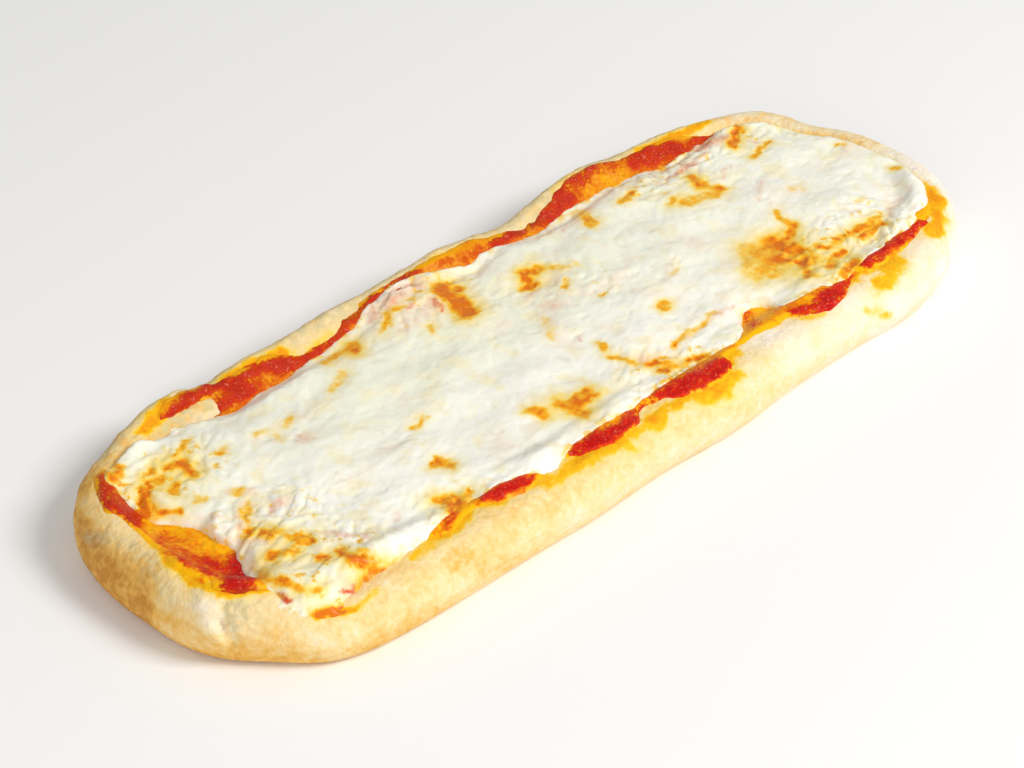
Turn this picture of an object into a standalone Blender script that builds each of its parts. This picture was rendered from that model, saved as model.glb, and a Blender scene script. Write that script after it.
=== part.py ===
"""A cheese flatbread: a long rounded slab of risen dough with an uneven raised rim, a layer of tomato sauce
lying inside the rim, and a layer of melted cheese over the sauce.

Metres, +Z up. The origin is under the middle of the part, +X runs along its length, and the side with the
higher rim is +Y. Run with: blender --background --python part.py
"""

import bpy
import numpy as np

# The dough's plan: |x / half length| ** END_POWER + |y / half width| ** SIDE_POWER = 1, before its swells
LENGTH = 0.2800
WIDTH = 0.1022
END_POWER = 8.0
SIDE_POWER = 2.2
SPINE = 0.088  # half the length of the middle line that every ring closes on

# How finely the surfaces are cut
STATIONS = 144  # round the plan, a multiple of 4
PLAN_STEPS = 2000  # along the quarter of the plan's formula that they are spaced out on
FOOT_STEPS = 3  # rings up the rounded foot
WALL_STEPS = 4  # rings up the wall to the rim
LEAST_LIP = 0.001  # the wall's rings stop this far outside the sauce where it laps over the rim
INNER_STEPS = 4  # rings from a layer's edge down to the level floor
LEAST_RUN = 0.003  # where that edge is over the level floor itself, how far in those rings reach
FLOOR_INSETS = (0.033, 0.040)  # rings over the level floor, which all the layers share

# The dough's section, as insets from the plan and heights over the table
FOOT = 0.0045
BELLY = 0.40  # the widest place, as a share of the rim's height
FLOOR = 0.0115
# The rim on the four sides: near is -Y, far is +Y, left is -X, right is +X
RIM_HEIGHT = {"near": 0.0158, "far": 0.0180, "left": 0.0182, "right": 0.0172}
RIM_INSET = {"near": 0.0075, "far": 0.0055, "left": 0.0085, "right": 0.0065}
SLOPE = {"near": 0.0090, "far": 0.0100, "left": 0.0110, "right": 0.0090}

# The layers: full and edge thicknesses, and how far in from its edge each becomes full
GAP = 0.0003
CHEESE_GAP = 0.00045
SAUCE = 0.0013
SAUCE_EDGE = 0.0004
SAUCE_TAPER = 0.0040
CHEESE = 0.0029
CHEESE_EDGE = 0.0013
CHEESE_TAPER = 0.0060
CHEESE_TUCK = 0.0004  # how far the cheese's edge turns in below
CHEESE_ROUND = (0.0007, 0.0025)  # rings that round its edge above
# Where each layer's edge lies, as insets from the plan on the four sides
SAUCE_INSET = {"near": 0.0130, "far": 0.0070, "left": 0.0105, "right": 0.0095}
CHEESE_INSET = {"near": 0.0135, "far": 0.0122, "left": 0.0130, "right": 0.0082}

# Each swell is its place (x, y), how far it spreads and how far it pushes out or, less than 0, in
PLAN_SWELLS = (
    (-0.092, 0.050, 0.012, 0.0014),
    (-0.077, 0.050, 0.006, -0.0008),
    (-0.045, 0.050, 0.016, -0.0012),
    (0.029, 0.050, 0.013, -0.0022),
    (0.064, 0.050, 0.014, 0.0018),
    (0.110, 0.046, 0.014, -0.0004),
    (0.131, 0.020, 0.011, -0.0040),
    (0.138, -0.018, 0.014, 0.0012),
    (0.018, -0.050, 0.018, 0.0018),
    (-0.032, -0.050, 0.020, 0.0009),
    (0.092, -0.050, 0.016, 0.0017),
    (0.118, -0.044, 0.012, -0.0010),
    (-0.128, -0.036, 0.013, -0.0030),
    (-0.139, 0.004, 0.026, -0.0008),
)
# The same for the rim's height
RIM_SWELLS = (
    (-0.092, 0.046, 0.012, 0.0012),
    (-0.078, 0.046, 0.008, -0.0022),
    (-0.036, 0.046, 0.009, 0.0010),
    (0.004, 0.046, 0.012, 0.0010),
    (0.028, 0.046, 0.012, -0.0014),
    (0.056, 0.046, 0.012, 0.0008),
    (0.076, 0.046, 0.008, -0.0012),
    (0.112, 0.044, 0.014, -0.0012),
    (0.130, 0.020, 0.010, -0.0012),
    (-0.118, 0.040, 0.010, -0.0014),
    (-0.136, 0.008, 0.008, -0.0010),
    (-0.132, -0.022, 0.009, 0.0010),
    (-0.112, -0.044, 0.013, -0.0026),
)
# The same for the layers' edges: patches of bare sauce, lobes and bays of cheese
SAUCE_SWELLS = (
    (-0.102, 0.042, 0.008, -0.0020),
    (-0.084, 0.045, 0.008, 0.0008),
    (-0.044, 0.042, 0.012, -0.0030),
    (-0.014, 0.045, 0.012, 0.0006),
    (0.012, 0.045, 0.006, 0.0008),
    (0.035, 0.043, 0.008, -0.0022),
    (0.064, 0.046, 0.008, 0.0010),
    (0.108, 0.042, 0.008, -0.0024),
    (-0.124, -0.020, 0.007, 0.0014),
    (-0.112, -0.040, 0.010, 0.0050),
    (-0.075, -0.038, 0.007, 0.0030),
    (-0.051, -0.038, 0.006, 0.0035),
    (-0.018, -0.038, 0.011, 0.0045),
    (0.014, -0.038, 0.010, 0.0055),
    (0.046, -0.038, 0.007, 0.0012),
    (0.064, -0.038, 0.009, 0.0064),
    (0.116, -0.034, 0.007, 0.0024),
)
CHEESE_SWELLS = (
    (-0.110, 0.038, 0.013, 0.0040),
    (-0.070, 0.038, 0.018, -0.0022),
    (-0.014, 0.038, 0.016, 0.0050),
    (0.009, 0.038, 0.005, -0.0012),
    (0.024, 0.038, 0.010, 0.0024),
    (0.088, 0.038, 0.014, -0.0012),
    (0.115, 0.036, 0.012, 0.0034),
    (0.126, 0.022, 0.008, -0.0016),
    (0.114, -0.030, 0.008, -0.0010),
    (0.094, -0.037, 0.016, -0.0045),
    (0.048, -0.037, 0.006, -0.0095),
    (0.018, -0.037, 0.013, -0.0034),
    (-0.008, -0.037, 0.008, 0.0014),
    (-0.039, -0.037, 0.006, 0.0048),
    (-0.064, -0.037, 0.010, -0.0014),
    (-0.088, -0.037, 0.011, 0.0036),
    (-0.110, -0.036, 0.012, 0.0108),
    (-0.122, -0.010, 0.011, -0.0130),
    (-0.125, 0.009, 0.010, -0.0100),
)
# The same for the height of the cheese's surface
CHEESE_LUMPS = (
    (-0.016, 0.036, 0.011, 0.0014),
    (-0.104, -0.030, 0.012, 0.0012),
    (-0.108, 0.024, 0.010, 0.0008),
    (-0.080, 0.006, 0.018, 0.0007),
    (0.004, 0.010, 0.014, -0.0006),
    (0.030, 0.002, 0.016, 0.0008),
    (0.030, -0.030, 0.009, -0.0007),
    (0.046, 0.024, 0.014, 0.0006),
    (0.072, -0.016, 0.012, -0.0008),
    (0.098, 0.024, 0.014, 0.0009),
    (0.104, -0.010, 0.014, 0.0007),
    (-0.040, -0.010, 0.016, -0.0006),
)
# Each wave over the cheese is its length, the way it runs as an angle from +X, and its height
WAVES = ((0.034, 0.6, 0.00030), (0.021, 2.1, 0.00022), (0.014, 1.3, 0.00016))

COLOURS = {
    "crust": ((0.78, 0.55, 0.25), 0.75),
    "sauce": ((0.52, 0.03, 0.01), 0.35),
    "cheese": ((0.87, 0.84, 0.68), 0.38),
}


def plan_stations():
    """Points round the plan, evenly spaced along it: four like quarters of the plan's own formula."""
    share = np.linspace(0.0, 1.0, PLAN_STEPS + 1)
    turn = 0.5 * np.pi * share ** (0.5 * END_POWER)
    turn[-1] = 0.5 * np.pi
    x = 0.5 * LENGTH * np.sin(turn) ** (2 / END_POWER)
    y = 0.5 * WIDTH * np.cos(turn) ** (2 / SIDE_POWER)
    run = np.concatenate([[0.0], np.cumsum(np.hypot(np.diff(x), np.diff(y)))])
    at = np.linspace(run[-1], 0.0, STATIONS // 4 + 1)
    qx = np.interp(at, run, x)
    qy = np.interp(at, run, y)
    px = np.concatenate([qx[:-1], -qx[:0:-1], -qx[:-1], qx[:0:-1]])
    py = np.concatenate([qy[:-1], qy[:0:-1], -qy[:-1], -qy[:0:-1]])
    return px, py


def swell(x, y, places):
    """The sum of rounded bumps, each exp(-(distance / spread) ** 2) times its push."""
    total = np.zeros(np.shape(x))
    for at_x, at_y, spread, push in places:
        total = total + push * np.exp(-((x - at_x) ** 2 + (y - at_y) ** 2) / spread**2)
    return total


def eased(t):
    """0 below 0, 1 above 1, and a smooth S between."""
    t = np.clip(t, 0.0, 1.0)
    return t * t * (3.0 - 2.0 * t)


class Plan:
    """The plan's stations, the way in from each to the spine, and what the sections need there."""

    def __init__(self):
        x, y = plan_stations()
        self.spine_x = np.clip(x, -SPINE, SPINE)
        away = np.stack([x - self.spine_x, y], 1)
        self.out = away / np.linalg.norm(away, axis=1, keepdims=True)
        push = swell(x, y, PLAN_SWELLS)
        self.edge = np.stack([x, y], 1) + self.out * push[:, None]
        self.middle = 0.5 * (self.edge.min(axis=0) + self.edge.max(axis=0))
        self.rim_height = self.by_side(RIM_HEIGHT) + swell(x, y, RIM_SWELLS)
        self.rim_inset = self.by_side(RIM_INSET)
        self.slope = self.by_side(SLOPE)
        self.sauce_inset = self.layer_inset(SAUCE_INSET, SAUCE_SWELLS)
        self.cheese_inset = self.layer_inset(CHEESE_INSET, CHEESE_SWELLS)

    def by_side(self, values):
        """The sides' values blended round the plan, each by the square of how much a station faces it."""
        way_x, way_y = self.out.T
        near = values["near"] * np.minimum(way_y, 0) ** 2
        far = values["far"] * np.maximum(way_y, 0) ** 2
        left = values["left"] * np.minimum(way_x, 0) ** 2
        right = values["right"] * np.maximum(way_x, 0) ** 2
        return near + far + left + right

    def layer_inset(self, insets, swells):
        """Where a layer's edge lies: the sides' insets, less its swells there."""
        inset = self.by_side(insets)
        x, y = self.at(inset)
        return inset - swell(x, y, swells)

    def at(self, inset):
        """The plan places at an inset from every station."""
        return self.edge.T - inset * self.out.T

    def wall(self, inset):
        """The dough's wall over the belly: a quarter of an ellipse from the edge of the plan to the rim."""
        belly = BELLY * self.rim_height
        lean = 1 - np.clip(inset / self.rim_inset, 0.0, 1.0)
        return belly + (self.rim_height - belly) * np.sqrt(1 - lean**2)

    def dough(self, inset):
        """The dough's upper surface: up the wall to the rim, then down in an S to the level floor."""
        down = eased((inset - self.rim_inset) / self.slope)
        return self.wall(inset) + (FLOOR - self.rim_height) * down

    def sauce(self, inset):
        """The sauce's upper surface: thin at its edge and beyond it, full further in."""
        within = (inset - self.sauce_inset) / SAUCE_TAPER
        thick = SAUCE_EDGE + (SAUCE - SAUCE_EDGE) * eased(within)
        return self.dough(inset) + GAP + thick

    def cheese_under(self, inset):
        """The cheese's lower surface: a gap over the sauce."""
        return self.sauce(inset) + CHEESE_GAP

    def cheese(self, inset):
        """The cheese's upper surface: a rounded edge, then lumps and long waves."""
        x, y = self.at(inset)
        within = (inset - self.cheese_inset) / CHEESE_TAPER
        thick = CHEESE_EDGE + (CHEESE - CHEESE_EDGE) * eased(within)
        relief = swell(x, y, CHEESE_LUMPS)
        for length, turn, height in WAVES:
            along = x * np.cos(turn) + y * np.sin(turn)
            relief = relief + height * np.sin(2 * np.pi * along / length + turn)
        return self.cheese_under(inset) + thick + relief * eased(within)


def ring(plan, inset, z):
    """One ring of points, a station each, at an inset and a height. The middle of the plan's box is moved
    to the origin."""
    x, y = plan.at(inset)
    return np.stack([x - plan.middle[0], y - plan.middle[1], np.broadcast_to(z, x.shape)], 1)


def closed_body(name, rings, plan, under_rings=0):
    """A closed mesh from rings of stations that run up the outside and in over the top. The first and the
    last ring are closed on points of the spine, which the two stations across from each other share. Each
    patch is cut from its outer corner at one station to its inner corner at the next, so that surfaces on
    the same rings stay parallel: the first under_rings rings run outwards, and all the others inwards."""
    count = len(rings)
    stations = np.arange(STATIONS)
    after = (stations + 1) % STATIONS
    spine_x, spine_of = np.unique(np.round(plan.spine_x, 7), return_inverse=True)
    caps = []
    for edge in (rings[0], rings[-1]):
        height = np.bincount(spine_of, edge[:, 2]) / np.bincount(spine_of)
        caps.append(np.stack([spine_x - plan.middle[0], 0 * spine_x - plan.middle[1], height], 1))
    points = np.concatenate(list(rings) + caps)
    faces = []
    for k in range(count - 1):
        low = k * STATIONS + stations
        low_after = k * STATIONS + after
        high = low + STATIONS
        high_after = low_after + STATIONS
        if k < under_rings - 1:
            cuts = [(low, low_after, high), (low_after, high_after, high)]
        else:
            cuts = [(low, low_after, high_after), (low, high_after, high)]
        for corners in cuts:
            faces += np.stack(corners, 1).tolist()
    under = count * STATIONS + spine_of
    over = under + len(spine_x)
    top = (count - 1) * STATIONS
    for a, b, low_a, low_b, top_a, top_b in zip(
        stations, after, under, under[after], over, over[after], strict=True
    ):
        faces.append([b, a, low_a] if low_a == low_b else [b, a, low_a, low_b])
        faces.append([top + a, top + b, top_a] if top_a == top_b else [top + a, top + b, top_b, top_a])
    mesh = bpy.data.meshes.new(name)
    mesh.from_pydata(points.tolist(), [], faces)
    mesh.update()
    mesh.shade_smooth()
    obj = bpy.data.objects.new(name, mesh)
    bpy.context.scene.collection.objects.link(obj)
    paint(obj)
    return obj


def paint(obj):
    """The object's own plain material."""
    colour, roughness = COLOURS[obj.name]
    material = bpy.data.materials.new(obj.name)
    material.use_nodes = True
    shader = material.node_tree.nodes["Principled BSDF"]
    shader.inputs["Base Color"].default_value = (*colour, 1.0)
    shader.inputs["Roughness"].default_value = roughness
    shader.inputs["Metallic"].default_value = 0.0
    obj.data.materials.append(material)


def inward(plan, start):
    """Insets from a layer's edge down to the level floor, and on over it."""
    level = np.maximum(plan.rim_inset + plan.slope, start + LEAST_RUN)
    down = [start + share * (level - start) for share in np.arange(1, INNER_STEPS + 1) / INNER_STEPS]
    return down + [0.5 * (level + FLOOR_INSETS[0])] + list(FLOOR_INSETS)


def make_crust(plan):
    """A rounded foot, a wall that leans in over the belly to the rim, and the hollow for the layers."""
    belly = BELLY * plan.rim_height
    rings = []
    for angle in np.linspace(-0.5 * np.pi, 0.0, FOOT_STEPS + 1):
        rings.append(ring(plan, FOOT * (1 - np.cos(angle)), belly * (1 + np.sin(angle))))
    brow = np.minimum(plan.rim_inset, plan.sauce_inset - LEAST_LIP)
    for angle in np.linspace(0.0, 0.5 * np.pi, WALL_STEPS + 1)[1:]:
        inset = brow * (1 - np.cos(angle))
        rings.append(ring(plan, inset, plan.dough(inset)))
    half_way = 0.5 * (brow + plan.sauce_inset)
    for inset in [half_way, plan.sauce_inset] + inward(plan, plan.sauce_inset):
        rings.append(ring(plan, inset, plan.dough(inset)))
    return closed_body("crust", rings, plan)


def make_sauce(plan):
    """A thin layer that follows the dough under it, edge to edge below the cheese."""
    edge = plan.sauce_inset
    insets = [edge] + inward(plan, edge)
    rings = [ring(plan, inset, plan.dough(inset) + GAP) for inset in insets[::-1]]
    rings += [ring(plan, inset, plan.sauce(inset)) for inset in insets]
    return closed_body("sauce", rings, plan, len(insets))


def make_cheese(plan):
    """A layer with a rounded edge, which follows the sauce below and is lumpy above."""
    edge = plan.cheese_inset
    insets = [edge + CHEESE_TUCK] + inward(plan, edge)
    rings = [ring(plan, inset, plan.cheese_under(inset)) for inset in insets[::-1]]
    rings.append(ring(plan, edge, plan.cheese_under(edge) + 0.5 * CHEESE_EDGE))
    rounded = [edge + step for step in CHEESE_ROUND]
    for inset in rounded + inward(plan, rounded[-1]):
        rings.append(ring(plan, inset, plan.cheese(inset)))
    return closed_body("cheese", rings, plan, len(insets))


def main():
    for old in list(bpy.data.objects):
        bpy.data.objects.remove(old)
    plan = Plan()
    make_crust(plan)
    make_sauce(plan)
    make_cheese(plan)


main()
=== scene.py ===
"""The looks of the cheese flatbread: baked dough with a stained rim, wet tomato sauce that shows round the
edge, and a sheet of melted cheese with shreds, pits and scorched spots. Metres, +Z up."""

import bpy
import numpy as np
from bpy.props import FloatProperty, FloatVectorProperty, IntProperty, PointerProperty
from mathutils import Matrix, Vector


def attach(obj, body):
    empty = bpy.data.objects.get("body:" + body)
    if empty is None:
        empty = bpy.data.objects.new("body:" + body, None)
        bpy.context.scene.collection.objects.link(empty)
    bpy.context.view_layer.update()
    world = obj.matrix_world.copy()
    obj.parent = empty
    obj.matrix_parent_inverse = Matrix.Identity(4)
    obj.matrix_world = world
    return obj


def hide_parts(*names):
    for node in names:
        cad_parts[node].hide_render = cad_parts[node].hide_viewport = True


bl_info = {
    "name": "Cheese flatbread",
    "version": (1, 0, 0),
    "blender": (4, 5, 0),
    "location": "3D View > Sidebar > Flatbread",
    "description": "Makes the dough, the sauce, the cheese and a plain stage",
    "category": "Add Mesh",
}

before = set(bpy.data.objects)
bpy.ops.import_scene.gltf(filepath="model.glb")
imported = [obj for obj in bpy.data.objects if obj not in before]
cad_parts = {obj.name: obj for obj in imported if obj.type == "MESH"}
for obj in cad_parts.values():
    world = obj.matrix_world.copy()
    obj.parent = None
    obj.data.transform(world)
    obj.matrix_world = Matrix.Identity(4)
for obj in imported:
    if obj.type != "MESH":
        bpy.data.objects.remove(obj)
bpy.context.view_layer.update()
MM = 0.001

# The dough's plan: |x / half length| ** END_POWER + |y / half width| ** SIDE_POWER = 1, before its swells
LENGTH = 0.2800
WIDTH = 0.1022
END_POWER = 8.0
SIDE_POWER = 2.2
SPINE = 0.088  # half the length of the middle line that every ring closes on
STATIONS = 960  # round the plan, a multiple of 4
PLAN_STEPS = 2000  # along the quarter of the plan's formula that they are spaced out on

# The dough's section, as insets from the plan and heights over the table
FOOT = 0.0045
BELLY = 0.40  # the widest place, as a share of the rim's height
FLOOR = 0.0115
# The rim on the four sides: near is -Y, far is +Y, left is -X, right is +X
RIM_HEIGHT = {"near": 0.0158, "far": 0.0180, "left": 0.0182, "right": 0.0172}
RIM_INSET = {"near": 0.0075, "far": 0.0055, "left": 0.0085, "right": 0.0065}
SLOPE = {"near": 0.0090, "far": 0.0100, "left": 0.0110, "right": 0.0090}
LEVEL = {"near": 0.0048, "far": 0.0, "left": 0.0, "right": 0.0008}  # how far the rim runs on before it falls

# The layers' full thicknesses, how far in they become full, and their edges as insets on the four sides
GAP = 0.0003
SAUCE = 0.0013
SAUCE_TAPER = 0.0070
CHEESE_GAP = 0.00045
CHEESE = 0.0029
CHEESE_EDGE = {"near": 0.0006, "far": 0.0012, "left": 0.0010, "right": 0.0009}
CHEESE_TAPER = 0.0060
SAUCE_INSET = {"near": 0.0130, "far": 0.0070, "left": 0.0105, "right": 0.0095}
CHEESE_INSET = {"near": 0.0135, "far": 0.0122, "left": 0.0130, "right": 0.0082}
SAUCE_SLOPE = 0.55  # how steeply a layer's edge rises
CHEESE_SLOPE = {"near": 0.75, "far": 1.1, "left": 0.9, "right": 0.6}
DIVE = 0.0009  # how deep a layer's hidden outer edge lies under what it rests on
LEAST_INSET = {"sauce": 0.0042, "cheese": 0.0024}  # no layer runs further out than this
HIDDEN_EDGE = 0.0006  # how much of the cheese's outer edge is always under what it rests on
BED_TAPER = 0.0070  # how far in the cheese stops following what it rests on
SMALL_TAPER = {"sauce": 0.0010, "cheese": 0.0016}  # how far in a layer's small forms reach their full height
LEVELLED = 0.0190  # over this the cheese's height is squeezed
HIGHEST = 0.0201  # so that it stays under this
OIL_SPREAD = 0.0014  # how far the sauce's oil soaks into the dough outside it

# How many rings each stretch of a piece has, and how far the close ones run
DOUGH_RINGS = {"foot": 9, "wall": 25, "slope": 49, "floor": 8}
SLOPE_RUN = 0.019
SAUCE_RINGS = {"edge": 60, "middle": 14}
SAUCE_RUN = 0.0165
CHEESE_RINGS = 95
CHEESE_CROWDING = 1.12  # the power that crowds its rings towards its edge
UNDER_RINGS = 6
UNDERCUT = 0.0006  # how far in from a layer's edge its underside starts
OVERLAP = {"sauce": 0.0036, "cheese": 0.0050}  # how far outside its plain edge a layer's mesh starts
FADE = {"sauce": 0.0016, "cheese": 0.0034}  # how far in from a layer's edge its colour thins

# What a stroke of full strength does: how far it moves a layer's edge out, how far a bare place or the second
# fold of dough takes it in, and how high that fold stands
REACH = {"sauce": 0.0030, "cheese": 0.0034}
HOLE_DEPTH = 0.010
FOLD_DEPTH = 0.013
FOLD_HEIGHT = 0.0009

# Where the shreds lie, as the least and the greatest x and y, and the ranges of their half length, half
# width, bend and share of the full height. They turn by a normal draw about a middle angle from +X.
SHRED_AREA = ((-0.128, -0.045), (0.134, 0.045))
SHRED_HALF = (0.003, 0.008)
SHRED_WIDTH = (0.0009, 0.0014)
SHRED_BEND = (-0.35, 0.35)
SHRED_SHARE = (0.5, 1.0)
SHRED_TURN = (0.7, 0.8)

# Each swell is its place (x, y), how far it spreads and how far it pushes out or, less than 0, in
PLAN_SWELLS = (
    (-0.092, 0.050, 0.012, 0.0014), (-0.077, 0.050, 0.006, -0.0008), (-0.045, 0.050, 0.016, -0.0012),
    (0.029, 0.050, 0.013, -0.0022), (0.064, 0.050, 0.014, 0.0018), (0.110, 0.046, 0.014, -0.0004),
    (0.131, 0.020, 0.011, -0.0040), (0.138, -0.018, 0.014, 0.0012), (0.018, -0.050, 0.018, 0.0018),
    (-0.032, -0.050, 0.020, 0.0009), (0.092, -0.050, 0.016, 0.0017), (0.118, -0.044, 0.012, -0.0010),
    (-0.128, -0.036, 0.013, -0.0030), (-0.139, 0.004, 0.026, -0.0008),
)
# The same for the rim's height
RIM_SWELLS = (
    (-0.092, 0.046, 0.012, 0.0012), (-0.078, 0.046, 0.008, -0.0022), (-0.036, 0.046, 0.009, 0.0010),
    (0.004, 0.046, 0.012, 0.0010), (0.028, 0.046, 0.012, -0.0014), (0.056, 0.046, 0.012, 0.0008),
    (0.076, 0.046, 0.008, -0.0012), (0.112, 0.044, 0.014, -0.0012), (0.130, 0.020, 0.010, -0.0012),
    (-0.118, 0.040, 0.010, -0.0014), (-0.136, 0.008, 0.008, -0.0010), (-0.132, -0.022, 0.009, 0.0010),
    (-0.112, -0.044, 0.013, -0.0026),
)
# The same for the layers' edges: patches of bare sauce, lobes and bays of cheese
SAUCE_SWELLS = (
    (-0.102, 0.042, 0.008, -0.0020), (-0.084, 0.045, 0.008, 0.0008), (-0.044, 0.042, 0.012, -0.0030),
    (-0.014, 0.045, 0.012, 0.0006), (0.012, 0.045, 0.006, 0.0008), (0.035, 0.043, 0.008, -0.0022),
    (0.064, 0.046, 0.008, 0.0010), (0.108, 0.042, 0.008, -0.0024), (-0.124, -0.020, 0.007, 0.0014),
    (-0.112, -0.040, 0.010, 0.0050), (-0.075, -0.038, 0.007, 0.0030), (-0.051, -0.038, 0.006, 0.0035),
    (-0.018, -0.038, 0.011, 0.0045), (0.014, -0.038, 0.010, 0.0055), (0.046, -0.038, 0.007, 0.0012),
    (0.064, -0.038, 0.009, 0.0064), (0.116, -0.034, 0.007, 0.0024),
)
CHEESE_SWELLS = (
    (-0.110, 0.038, 0.013, 0.0040), (-0.070, 0.038, 0.018, -0.0022), (-0.014, 0.038, 0.016, 0.0050),
    (0.009, 0.038, 0.005, -0.0012), (0.024, 0.038, 0.010, 0.0024), (0.088, 0.038, 0.014, -0.0012),
    (0.115, 0.036, 0.012, 0.0034), (0.126, 0.022, 0.008, -0.0016), (0.114, -0.030, 0.008, -0.0010),
    (0.094, -0.037, 0.016, -0.0045), (0.048, -0.037, 0.006, -0.0095), (0.018, -0.037, 0.013, -0.0034),
    (-0.008, -0.037, 0.008, 0.0014), (-0.039, -0.037, 0.006, 0.0048), (-0.064, -0.037, 0.010, -0.0014),
    (-0.088, -0.037, 0.011, 0.0036), (-0.1125, -0.0345, 0.0125, 0.0106), (-0.122, -0.010, 0.011, -0.0130),
    (-0.125, 0.009, 0.010, -0.0100),
)
# The same for the height of the cheese's surface
CHEESE_LUMPS = (
    (-0.016, 0.036, 0.011, 0.0014), (-0.104, -0.030, 0.012, 0.0012), (-0.108, 0.024, 0.010, 0.0008),
    (-0.080, 0.006, 0.018, 0.0007), (0.004, 0.010, 0.014, -0.0006), (0.030, 0.002, 0.016, 0.0008),
    (0.030, -0.030, 0.009, -0.0007), (0.046, 0.024, 0.014, 0.0006), (0.072, -0.016, 0.012, -0.0008),
    (0.098, 0.024, 0.014, 0.0009), (0.104, -0.010, 0.014, 0.0007), (-0.040, -0.010, 0.016, -0.0006),
)
# Each wave over the cheese is its length, the way it runs as an angle from +X, and its height
WAVES = ((0.034, 0.6, 0.00030), (0.021, 2.1, 0.00022), (0.014, 1.3, 0.00016))

# Each noise is how strong it is, how large its bumps are and its seed
DOUGH_NOISES = ((0.9, 0.024, 11), (0.7, 0.010, 12), (0.30, 0.0048, 17))
SAUCE_NOISES = ((0.00016, 0.0017, 23), (0.00009, 0.0009, 24))
ASIDE_NOISES = ((0.0013, 0.0050, 61), (0.0007, 0.0019, 62))
ALONG_NOISES = ((0.0013, 0.0050, 63), (0.0007, 0.0019, 64))
# The whole numbers that mix a corner's place and a seed, and those that fold the bits of the mixture
CORNER_FACTORS = (73856093, 19349663, 83492791, 39916801)
FOLD_FACTORS = (1274126177, 1103515245)
LOW_BITS = 0xFFFFFFFF

# Where the colours change, each as the place, height or facing where the change starts and where it is full
FAR_SIDE = (-0.020, 0.030)
FAR_HALF = (0.0, 0.030)
LEFT_END = (-0.112, -0.134)
# Where the left end's edge at the back is darkened, as painted shade
SHADED_LEFT_EDGE = (-0.131, -0.137)
SHADED_LEFT_EDGE_BACK = (-0.012, -0.002)
# Where the right half is made paler, as painted light
PAINTED_LIGHT_RIGHT_HALF = (-0.010, 0.060)
LOW_WALL = (0.0095, 0.0010)
FOOT_WALL = (0.0056, 0.0016)
UNDERSIDE = (0.0012, 0.0002)
NEAR_WALL = (-0.030, -0.038)
NEAR_WALL_TOP = (0.0175, 0.0165)
NEAR_WALL_FOOT = (0.008, 0.013)
# Where dough that faces back is darkened, as painted shade
SHADED_FACING_BACK = (0.40, 0.75)
FACING_CAMERA = (-0.10, 0.20)
GREY_RIM = (0.036, 0.044)
GREY_RIM_END = (0.115, 0.095)
CHEESE_NEAR = (-0.004, -0.024)
CHEESE_MIDDLE = (-0.010, 0.012)
MIDDLE_LENGTH = (0.075, 0.025)
MIDDLE_WIDTH = (0.020, 0.0)

# Each lamp's place, the length of its side and its colour
KEY_LAMP = ((0.45, -1.00, 1.05), 0.55, (1.0, 0.98, 0.95))
FILL_LAMP = ((-1.1, -0.7, 0.7), 0.9, (1.0, 0.99, 0.97))

# The camera, fitted to the outline in the photograph
VIEW_HEIGHT = np.radians(36.2)
VIEW_TURN = np.radians(45.4)
VIEW_DISTANCE = 0.787
FOCUS_PIXELS = 2950.0
PICTURE_WIDTH = 1024
SENSOR = 36.0
CENTRE_PIXEL = 545.0  # where the middle of the plan's own axes shows, across the picture
TOWARD_CAMERA = np.array(
    [
        -np.sin(VIEW_TURN) * np.cos(VIEW_HEIGHT),
        -np.cos(VIEW_TURN) * np.cos(VIEW_HEIGHT),
        np.sin(VIEW_HEIGHT),
    ]
)

# Marks are placed in millimetres on a level plane at SEEN_HEIGHT, where the camera's line of sight through
# them crosses it. LEAN is how far that line moves in x and in y for each unit of height.
SEEN_HEIGHT = 0.017
LEAN = 0.97

# Each mark is a stroke: from (x, y) to (x, y), how wide and how strong. These are where the sauce's oil has
# stained the dough.
DOUGH_STAINS = (
    (-101, 42, -90, 46, 2.4, 0.92), (-71, 44, -55, 42.5, 2.4, 0.85), (-48, 39, -40, 40, 1.6, 0.40),
    (3, 46, 16, 42, 1.4, 0.35), (50, 46, 60, 49, 1.2, 0.30), (84, 44, 108, 41, 2.0, 0.80),
    (-127.5, 5, -130, -11, 1.7, 0.66), (-130, -11, -128.5, -18, 1.8, 0.70),
    (-128, -22, -118, -26, 2.2, 0.60), (-121, -25, -117, -27, 2.2, 0.70),
    (-118.5, -42.5, -113, -47, 1.5, 0.90), (-110, -47.5, -104, -46.5, 1.2, 0.50),
    (-88, -43, -82, -42, 1.6, 0.60), (-78, -43, -68, -40, 2.0, 0.66), (-60, -41, -45, -43, 2.6, 0.66),
    (-45, -46, -36, -46, 2.2, 0.60), (-33, -46, -8, -48, 2.4, 0.66), (-21, -49, -21, -53, 1.5, 0.55),
    (-8, -46, 4, -46, 2.2, 0.70), (8, -50, 21, -49, 2.8, 0.72), (20, -45, 29, -42, 2.0, 0.66),
    (12, -52, 13, -53, 2.2, 0.50), (52, -44, 58, -47, 1.6, 0.50), (69, -56, 71, -61, 2.4, 0.40),
    (74, -51, 80, -50, 2.6, 0.24), (81, -49, 91, -45, 3.3, 0.70), (76, -42, 84, -39, 2.0, 0.70),
    (109, -43, 116, -40, 2.2, 0.66), (125.5, -26, 122.5, -33, 2.0, 0.85),
    (122.5, -33, 111, -43.5, 2.5, 0.85),
)
# The creases pressed into the dough, whose strength is less than 0, and the swells beside them
DOUGH_FOLDS = (
    (-132, -24, -137, -30, 1.3, -1.3), (-137, -30, -142, -37, 1.4, -1.3),
    (-135, -22, -142, -31, 2.8, 0.8), (-133, -14, -138, -2, 1.6, -0.35), (-132, 9, -137, 17, 1.6, -0.30),
    (-122, 37, -112, 42, 1.4, -0.30), (124, 16, 129, 8, 1.4, -0.45), (127, -15, 133, -9, 1.4, -0.35),
    (-130, -30, -124, -26, 2.2, 0.25),
)
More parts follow.
